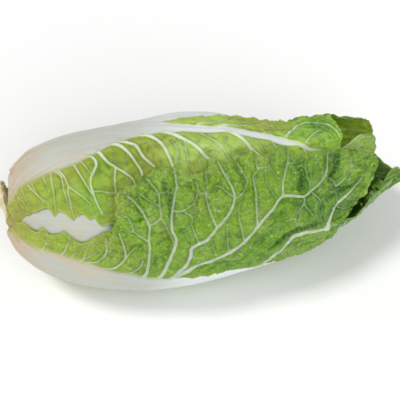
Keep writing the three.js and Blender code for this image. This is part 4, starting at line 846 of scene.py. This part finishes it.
def make_mesh(leaf, P, I, fields, along):
    """The outer grid, the coarser inner grid and a band of faces that joins their borders."""
    nu, nv = P.shape[:2]
    mu, mv = I.shape[:2]
    o = np.arange(nu * nv).reshape(nu, nv)
    i = np.arange(mu * mv).reshape(mu, mv) + nu * nv
    quads = [np.stack([o[:-1, :-1], o[:-1, 1:], o[1:, 1:], o[1:, :-1]], -1).reshape(-1, 4),
             np.stack([i[:-1, :-1], i[1:, :-1], i[1:, 1:], i[:-1, 1:]], -1).reshape(-1, 4)]
    ring_o = np.concatenate([o[0, :-1], o[:-1, -1], o[-1, :0:-1], o[:0:-1, 0]])
    ring_i = np.concatenate([i[0, :-1], i[:-1, -1], i[-1, :0:-1], i[:0:-1, 0]])
    a, b = ring_i, np.roll(ring_i, -1)
    f0, f1, f2 = ring_o[0::3], ring_o[1::3], ring_o[2::3]
    f3 = np.roll(f0, -1)
    tris = np.concatenate([np.stack([f0, a, f1], -1), np.stack([f1, a, f2], -1), np.stack([f2, b, f3], -1), np.stack([f2, a, b], -1)])
    quads = np.concatenate(quads)
    pts = np.concatenate([P.reshape(-1, 3), I.reshape(-1, 3)])
    # faces outward
    A, B, C, Dq = (pts[quads[:, n]] for n in range(4))
    vol = (A * np.cross(B, C)).sum() + (A * np.cross(C, Dq)).sum()
    A, B, C = (pts[tris[:, n]] for n in range(3))
    vol += (A * np.cross(B, C)).sum()
    if vol < 0:
        quads, tris = quads[:, ::-1], tris[:, ::-1]
    me = bpy.data.meshes.new(leaf["name"] + "_mesh")
    pts = (pts + [OX, OY, OZ]) / 1000
    me.vertices.add(len(pts))
    me.vertices.foreach_set("co", pts.astype(np.float32).ravel())
    loops = np.concatenate([quads.ravel(), tris.ravel()]).astype(np.int32)
    totals = np.concatenate([np.full(len(quads), 4), np.full(len(tris), 3)])
    me.loops.add(len(loops))
    me.loops.foreach_set("vertex_index", loops)
    me.polygons.add(len(totals))
    me.polygons.foreach_set("loop_start", np.concatenate([[0], np.cumsum(totals)[:-1]]).astype(np.int32))
    me.polygons.foreach_set("loop_total", totals.astype(np.int32))
    me.update(calc_edges=True)
    me.shade_smooth()
    for name, F in fields.items():
        att = me.attributes.new(name, "FLOAT", "POINT")
        att.data.foreach_set("value", np.concatenate([F.ravel(), F[::3, ::3].ravel()]).astype(np.float32))
    att = me.attributes.new("inner", "FLOAT", "POINT")
    within = np.ones((mu, mv))
    within[[0, -1]] = within[:, [0, -1]] = 0
    att.data.foreach_set("value", np.concatenate([np.zeros(nu * nv), within.ravel()]).astype(np.float32))
    att = me.attributes.new("leafco", "FLOAT_VECTOR", "POINT")
    att.data.foreach_set("vector", np.concatenate([along.reshape(-1, 3), along[::3, ::3].reshape(-1, 3)]).astype(np.float32).ravel())
    ob = bpy.data.objects.new("leaf_" + leaf["name"].replace("_leaf", "").replace("leaf_", ""), me)
    bpy.context.scene.collection.objects.link(ob)
    return ob


# ------------------------------------------------------------------ materials
def srgb(r, g, b):
    return tuple((c / 255 / 12.92 if c / 255 <= .04045 else ((c / 255 + .055) / 1.055) ** 2.4) for c in (r, g, b)) + (1.0,)


class Nodes:
    def __init__(self, name):
        self.mat = bpy.data.materials.new(name)
        self.mat.use_nodes = True
        self.t = self.mat.node_tree
        self.out = self.t.nodes["Material Output"]
        self.bsdf = self.t.nodes["Principled BSDF"]

    def link(self, a, b):
        self.t.links.new(a, b)

    def set(self, socket, value):
        if isinstance(value, bpy.types.NodeSocket):
            self.link(value, socket)
        else:
            socket.default_value = value

    def attr(self, name, vector=False):
        n = self.t.nodes.new("ShaderNodeAttribute")
        n.attribute_name = name
        return n.outputs["Vector" if vector else "Fac"]

    def mix(self, fac, a, b, kind="MIX"):
        n = self.t.nodes.new("ShaderNodeMix")
        n.data_type = "RGBA"
        n.blend_type = kind
        self.set(n.inputs[0], fac)
        self.set(n.inputs[6], a)
        self.set(n.inputs[7], b)
        return n.outputs[2]

    def math(self, op, a, b=0.0, c=None, clamp=False):
        n = self.t.nodes.new("ShaderNodeMath")
        n.operation = op
        n.use_clamp = clamp
        self.set(n.inputs[0], a)
        self.set(n.inputs[1], b)
        if c is not None:
            self.set(n.inputs[2], c)
        return n.outputs[0]

    def ramp(self, fac, lo, hi):
        n = self.t.nodes.new("ShaderNodeMapRange")
        n.interpolation_type = "SMOOTHSTEP"
        self.set(n.inputs[0], fac)
        n.inputs[1].default_value, n.inputs[2].default_value = lo, hi
        return n.outputs[0]

    def scaled(self, vec, scale):
        n = self.t.nodes.new("ShaderNodeMapping")
        self.link(vec, n.inputs["Vector"])
        n.inputs["Scale"].default_value = scale
        return n.outputs["Vector"]

    def noise(self, vec, scale, detail=2.0, rough=.5, distortion=0.0):
        n = self.t.nodes.new("ShaderNodeTexNoise")
        self.link(vec, n.inputs["Vector"])
        n.inputs["Scale"].default_value = scale
        n.inputs["Detail"].default_value = detail
        n.inputs["Roughness"].default_value = rough
        n.inputs["Distortion"].default_value = distortion
        return n.outputs["Fac"]

    def cracks(self, vec, scale):
        n = self.t.nodes.new("ShaderNodeTexVoronoi")
        n.feature = "DISTANCE_TO_EDGE"
        self.link(vec, n.inputs["Vector"])
        n.inputs["Scale"].default_value = scale
        return n.outputs["Distance"]

    def bent(self, vec, scale, amount):
        """Coordinates pushed about by a noise, so that a pattern on them does not run straight."""
        n = self.t.nodes.new("ShaderNodeTexNoise")
        self.link(vec, n.inputs["Vector"])
        n.inputs["Scale"].default_value = scale
        n.inputs["Detail"].default_value = 2.0
        a = self.t.nodes.new("ShaderNodeVectorMath")
        a.operation = "SUBTRACT"
        self.link(n.outputs["Color"], a.inputs[0])
        a.inputs[1].default_value = (.5, .5, .5)
        b = self.t.nodes.new("ShaderNodeVectorMath")
        b.operation = "MULTIPLY_ADD"
        self.link(a.outputs[0], b.inputs[0])
        b.inputs[1].default_value = (amount, amount, 0)
        self.link(vec, b.inputs[2])
        return b.outputs[0]

    def bump(self, height, strength, distance, normal=None):
        n = self.t.nodes.new("ShaderNodeBump")
        n.inputs["Strength"].default_value = strength
        n.inputs["Distance"].default_value = distance
        self.link(height, n.inputs["Height"])
        if normal is not None:
            self.link(normal, n.inputs["Normal"])
        return n.outputs["Normal"]


def leaf_material(name, light, mid, dark, rib_tint=1.0, inner_face_shade=.35):
    m = Nodes(name)
    co = m.attr("leafco", True)
    tex = m.t.nodes.new("ShaderNodeTexCoord").outputs["Object"]
    tone = m.attr("tone")
    # blade: yellow-green at the base to full green at the tip, mottled
    mottle = m.noise(tex, 45, 3, .55)
    shift = m.math("ADD", tone, m.math("MULTIPLY", m.math("SUBTRACT", mottle, .5), .34))
    blade = m.mix(m.ramp(shift, .07, .54), light, mid)
    blade = m.mix(m.ramp(shift, .45, 1.0), blade, dark)
    # pale patches: the leaf's own paler green, and painted sheen on the upper wrapper's blade
    blade = m.mix(m.attr("pale"), blade, srgb(180, 212, 110))
    # painted shade: the upper wrapper's blade darkened toward the base
    blade = m.mix(m.attr("dim"), blade, m.mix(1.0, blade, (.72, .70, .72, 1), "MULTIPLY"))
    # painted shade in the hollows and creases of the tissue, painted highlight on its crowns
    relief_shade_and_highlight = m.attr("relief_shade_and_highlight")
    blade = m.mix(m.math("MULTIPLY", m.ramp(relief_shade_and_highlight, .53, .28), .78), blade, m.mix(1.0, blade, (.42, .58, .30, 1), "MULTIPLY"))
    blade = m.mix(m.math("MULTIPLY", m.ramp(relief_shade_and_highlight, .52, .76), .36), blade, srgb(170, 208, 70))
    # fine crumpling: small pillows between hair-thin veins, and sharp creases; besides the bump, the creases and cell
    # lines get painted shade and the pillows a painted highlight
    rough = m.attr("rough")
    net = m.cracks(m.scaled(co, (1, 1, 1)), .42)
    wrinkle = m.noise(m.scaled(co, (1, 1, 1)), .55, 5, .68, .9)
    crease = m.math("ABSOLUTE", m.math("SUBTRACT", wrinkle, .5))
    relief = m.math("ADD", m.math("MULTIPLY", m.ramp(crease, .0, .10), .6), m.math("MULTIPLY", m.ramp(net, .0, .22), .4))
    blade = m.mix(m.math("MULTIPLY", m.ramp(relief, .75, .15), m.math("MULTIPLY", rough, .70)), blade, m.mix(1.0, blade, (.50, .66, .40, 1), "MULTIPLY"))
    blade = m.mix(m.math("MULTIPLY", m.ramp(relief, .80, 1.0), m.math("MULTIPLY", rough, .34)), blade, srgb(168, 214, 72))
    lace = m.cracks(m.bent(co, .11, 7.0), .15)
    lace2 = m.cracks(m.bent(co, .25, 3.0), .33)
    faint = m.ramp(m.noise(co, .06, 2, .5), .38, .62)
    hair = m.math("MAXIMUM", m.math("MULTIPLY", m.ramp(lace, .055, .012), m.math("ADD", .20, m.math("MULTIPLY", faint, .32))), m.math("MULTIPLY", m.ramp(lace2, .075, .015), m.math("MULTIPLY", faint, .28)))
    blade = m.mix(m.math("MULTIPLY", m.math("MULTIPLY", hair, m.ramp(rough, -.1, .95)), m.math("SUBTRACT", 1.0, m.attr("inner"))), blade, m.mix(tone, srgb(206, 214, 140), srgb(176, 206, 120)))
    # the upper face, seen inside the open end, is olive with darker mottles; the inner faces also get painted shade
    blade = m.mix(m.math("MULTIPLY", m.attr("olive"), m.math("MULTIPLY", m.attr("inner"), .9)), blade, srgb(172, 204, 42))
    pucker = m.noise(m.scaled(co, (1, .7, 1)), .22, 4, .62, .6)
    blade = m.mix(m.math("MULTIPLY", m.math("MULTIPLY", m.attr("olive"), m.attr("inner")), m.math("MULTIPLY", m.ramp(pucker, .46, .62), .55)), blade, srgb(112, 136, 24))
    # painted shade deep inside the open tip of the underside second leaf
    blade = m.mix(m.math("MULTIPLY", m.attr("open_tip_shade"), m.attr("inner")), blade, m.mix(1.0, blade, (.36, .47, .42, 1), "MULTIPLY"))
    # painted shade over the inner faces, left off where the face is olive or pale
    blade = m.mix(m.math("MULTIPLY", m.math("MULTIPLY", m.attr("inner"), inner_face_shade), m.math("SUBTRACT", 1.0, m.math("MAXIMUM", m.attr("olive"), m.attr("pale")))), blade, m.mix(1.0, blade, (.42, .56, .34, 1), "MULTIPLY"))
    # veins with a soft pale green border
    col = m.mix(m.math("MULTIPLY", m.attr("halo"), .55), blade, m.mix(tone, srgb(184, 196, 84), srgb(150, 192, 60)))
    veincol = m.mix(m.ramp(m.noise(co, .22, 2), .35, .7), srgb(228, 240, 222), srgb(214, 232, 190))
    outside = m.math("SUBTRACT", 1.0, m.math("MULTIPLY", m.attr("inner"), .75))
    line = m.math("MAXIMUM", m.math("MULTIPLY", m.ramp(m.attr("inward"), -.42, .12), m.attr("bold")), m.math("MULTIPLY", m.attr("net"), .17))
    col = m.mix(m.math("MULTIPLY", line, outside), col, veincol)
    # midrib: grey-white with lengthwise streaks, peach toward the base
    fibre = m.noise(m.scaled(co, (.014, .22, 1)), 1.0, 3, .6)
    away = m.t.nodes.new("ShaderNodeSeparateXYZ")
    m.link(co, away.inputs[0])
    ribcol = m.mix(m.math("MULTIPLY", m.ramp(away.outputs[0], 60, 170), .8), srgb(210, 212, 204), srgb(228, 234, 236))
    ribcol = m.mix(m.attr("cool"), ribcol, srgb(184, 189, 181))
    ribcol = m.mix(m.ramp(fibre, .35, .75), ribcol, m.mix(1.0, ribcol, (.90, .91, .86, 1), "MULTIPLY"))
    peach = m.noise(m.scaled(co, (.022, .13, 1)), 1.0, 4, .6)
    ribcol = m.mix(m.math("MULTIPLY", m.ramp(peach, .42, .78), m.math("MULTIPLY", m.ramp(away.outputs[0], 125, 50), .85)), ribcol, srgb(204, 184, 154))
    ribcol = m.mix(m.math("MULTIPLY", m.ramp(away.outputs[0], 205, 258), .9), ribcol, srgb(168, 190, 132))
    ribcol = m.mix(m.attr("warm"), ribcol, srgb(200, 178, 146))
    ribcol = m.mix(m.math("MULTIPLY", m.ramp(m.attr("rib"), .95, .30), .8), ribcol, srgb(198, 206, 122))
    col = m.mix(m.math("MULTIPLY", m.ramp(m.attr("rib"), .02, .9), outside), col, ribcol)
    # pale rim and browned base
    col = m.mix(m.math("MULTIPLY", m.attr("rim"), .5), col, srgb(176, 206, 84))
    brown = m.noise(tex, 160, 4, .65)
    col = m.mix(m.math("MULTIPLY", m.attr("age"), m.ramp(brown, .25, .75)), col, srgb(176, 140, 96))
    m.link(col, m.bsdf.inputs["Base Color"])
    wax = m.noise(tex, 60, 3, .6)
    m.link(m.math("ADD", .40, m.math("MULTIPLY", wax, .16)), m.bsdf.inputs["Roughness"])
    m.bsdf.inputs["Specular IOR Level"].default_value = .30
    m.bsdf.inputs["Subsurface Weight"].default_value = .12
    m.bsdf.inputs["Subsurface Radius"].default_value = (1.0, 1.3, .35)
    m.bsdf.inputs["Subsurface Scale"].default_value = .0016
    # fine relief
    grain = m.noise(tex, 900, 2, .5)
    smooth_rib = m.math("SUBTRACT", 1.0, m.math("MULTIPLY", m.attr("rib"), .9))
    h = m.math("ADD", m.math("MULTIPLY", relief, m.math("MULTIPLY", rough, .62)), m.math("MULTIPLY", wrinkle, .35))
    h = m.math("ADD", h, m.math("MULTIPLY", m.ramp(m.attr("inward"), -.6, .2), .3))
    h = m.math("ADD", m.math("MULTIPLY", h, smooth_rib), m.math("MULTIPLY", grain, .05))
    h = m.math("ADD", h, m.math("MULTIPLY", m.math("MULTIPLY", fibre, m.attr("rib")), .06))
    m.link(m.bump(h, .9, .0016), m.bsdf.inputs["Normal"])
    return m.mat


def stem_material():
    m = Nodes("cut_stem")
    tex = m.t.nodes.new("ShaderNodeTexCoord").outputs["Object"]
    big, small = m.noise(tex, 110, 4, .6), m.noise(tex, 520, 3, .6)
    col = m.mix(m.ramp(big, .35, .65), srgb(236, 222, 186), srgb(214, 198, 150))
    col = m.mix(m.ramp(m.noise(tex, 70, 3, .6), .52, .72), col, srgb(166, 168, 84))
    col = m.mix(m.math("MULTIPLY", m.ramp(small, .58, .75), .5), col, srgb(168, 138, 98))
    col = m.mix(m.math("MULTIPLY", m.attr("cut"), m.ramp(small, .3, .6)), col, srgb(206, 190, 160))
    m.link(col, m.bsdf.inputs["Base Color"])
    m.bsdf.inputs["Roughness"].default_value = .72
    m.bsdf.inputs["Specular IOR Level"].default_value = .25
    m.bsdf.inputs["Subsurface Weight"].default_value = .1
    m.bsdf.inputs["Subsurface Radius"].default_value = (1.0, .7, .4)
    m.bsdf.inputs["Subsurface Scale"].default_value = .0015
    m.link(m.bump(m.math("ADD", m.math("MULTIPLY", big, .6), m.math("MULTIPLY", small, .4)), .4, .001), m.bsdf.inputs["Normal"])
    return m.mat


OUTER = leaf_material("leaf_outer", srgb(168, 178, 58), srgb(140, 193, 48), srgb(82, 144, 36))
INNERM = leaf_material("leaf_inner", srgb(206, 204, 92), srgb(172, 188, 66), srgb(116, 152, 44), inner_face_shade=.1)

for k, leaf in enumerate(leaves):
    ob = build_leaf(leaf, k)
    ob.data.materials.append(OUTER if k < 8 else INNERM)
    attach(ob, "root")
    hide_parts(leaf["name"])


# ------------------------------------------------------------------ the cut stem
def build_stem():
    n, rings = 144, []
    a = np.linspace(0, 2 * np.pi, n, endpoint=False)
    prof = [(-3.4, .0), (-3.4, 3), (-3.4, 5.6), (-3.4, 7.6), (-3.3, 9), (-3.0, 10), (-2.6, 10.8), (-2.0, 11.4), (-1.3, 12.2), (-.6, 13.4),
            (0, 15.0), (.6, 16.8), (1.2, 17.8), (2.4, 17.4), (6, 15.6), (12, 14.8), (22, 13.2), (36, 11), (60, 7), (90, 2.4), (104, .0)]
    for x, r in prof:
        rough = fbm(np.cos(a) * 2.4 + r * .35, np.sin(a) * 2.4 + x * .4, 3, 3)
        torn = fbm(a * 9 / math.pi * 2, 0 * a + x * .25, 8, 3)
        rr = r * (1 + .16 * rough * (x < 1)) + 1.0 * torn * (r > 8) * (x < 1)
        xx = x + (1.9 * rough + 1.3 * torn) * (x < -1.2) * (.3 + .7 * min(1, r / 6)) + .8 * (x < -3.35)
        off = 1 - float(smooth((x + 2.0) / 5))
        rings.append(np.stack([xx, 9.5 * off - rr * np.cos(a), ZC + 11.5 * off + rr * np.sin(a)], -1))
    pts = np.concatenate([rings[0][:1].mean(0, keepdims=True)] + rings[1:-1] + [rings[-1][:1].mean(0, keepdims=True)])
    pts[0] = [-3.2, 9.5, ZC + 11.5]
    faces = []
    m = len(rings) - 2
    at = lambda r, j: 1 + r * n + j % n
    for j in range(n):
        faces.append((0, at(0, j + 1), at(0, j)))
        for r in range(m - 1):
            faces.append((at(r, j), at(r, j + 1), at(r + 1, j + 1), at(r + 1, j)))
        faces.append((at(m - 1, j), at(m - 1, j + 1), len(pts) - 1))
    me = bpy.data.meshes.new("stem_mesh")
    me.from_pydata(((pts + [OX, OY, OZ]) / 1000).tolist(), [], faces)
    me.update()
    import bmesh
    bm = bmesh.new()
    bm.from_mesh(me)
    bmesh.ops.recalc_face_normals(bm, faces=bm.faces)
    bm.to_mesh(me)
    bm.free()
    me.shade_smooth()
    cut = me.attributes.new("cut", "FLOAT", "POINT")
    cut.data.foreach_set("value", (smooth((-pts[:, 0] - 2.0) / 1.2)).astype(np.float32))
    ob = bpy.data.objects.new("cut_stem", me)
    bpy.context.scene.collection.objects.link(ob)
    ob.data.materials.append(stem_material())
    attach(ob, "root")
    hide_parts("core_stem")
    return ob


build_stem()

# ------------------------------------------------------------------ floor, light and camera
me = bpy.data.meshes.new("floor_mesh")
me.from_pydata([(-6, -6, 0), (6, -6, 0), (6, 6, 0), (-6, 6, 0)], [], [(0, 1, 2, 3)])
floor = bpy.data.objects.new("floor", me)
bpy.context.scene.collection.objects.link(floor)
fm = Nodes("floor_pale")
fm.link(fm.mix(fm.noise(fm.t.nodes.new("ShaderNodeTexCoord").outputs["Object"], 3, 2), (.93, .93, .93, 1), (.95, .95, .95, 1)), fm.bsdf.inputs["Base Color"])
fm.bsdf.inputs["Roughness"].default_value = .9
fm.bsdf.inputs["Specular IOR Level"].default_value = .1
me.materials.append(fm.mat)


def head_point(x, y, z):
    return ((x + OX) / 1000, (y + OY) / 1000, (z + OZ) / 1000)


def sun(name, strength, spread, toward, color=(1, 1, 1)):
    """A broad, soft light from far away, so that the whole head is lit alike."""
    data = bpy.data.lights.new(name, "SUN")
    data.energy, data.angle, data.color = strength, math.radians(spread), color
    ob = bpy.data.objects.new(name, data)
    bpy.context.scene.collection.objects.link(ob)
    ob.location = Vector(toward) * 2
    ob.rotation_euler = Vector(toward).to_track_quat("Z", "Y").to_euler()
    return ob


sun("key", 1.50, 16, (-.46, .02, .88), (1, .99, .97))
sun("fill", 1.50, 60, (.24, -.76, .58), (.97, .99, 1))

world = bpy.data.worlds.new("studio")
bpy.context.scene.world = world
world.use_nodes = True
world.node_tree.nodes["Background"].inputs["Color"].default_value = (1, 1, 1, 1)
world.node_tree.nodes["Background"].inputs["Strength"].default_value = .40

el, az, far_ = math.radians(55), math.radians(-7.3), 751.0
back = np.array([math.sin(az) * math.cos(el), -math.cos(az) * math.cos(el), math.sin(el)])
right = np.array([math.cos(az), math.sin(az), 0])
up = np.cross(back, right)
where = np.array([152.3, -6.5, 62.5]) + back * far_
cam_data = bpy.data.cameras.new("camera")
cam_data.lens, cam_data.sensor_width = 85, 36
cam_data.clip_start, cam_data.clip_end = .02, 30
cam = bpy.data.objects.new("camera", cam_data)
bpy.context.scene.collection.objects.link(cam)
M = Matrix(((right[0], up[0], back[0]), (right[1], up[1], back[1]), (right[2], up[2], back[2]))).to_4x4()
M.translation = head_point(*where)
cam.matrix_world = M
bpy.context.scene.camera = cam
bpy.context.scene.view_settings.view_transform = "Standard"
bpy.context.scene.view_settings.look = "None"
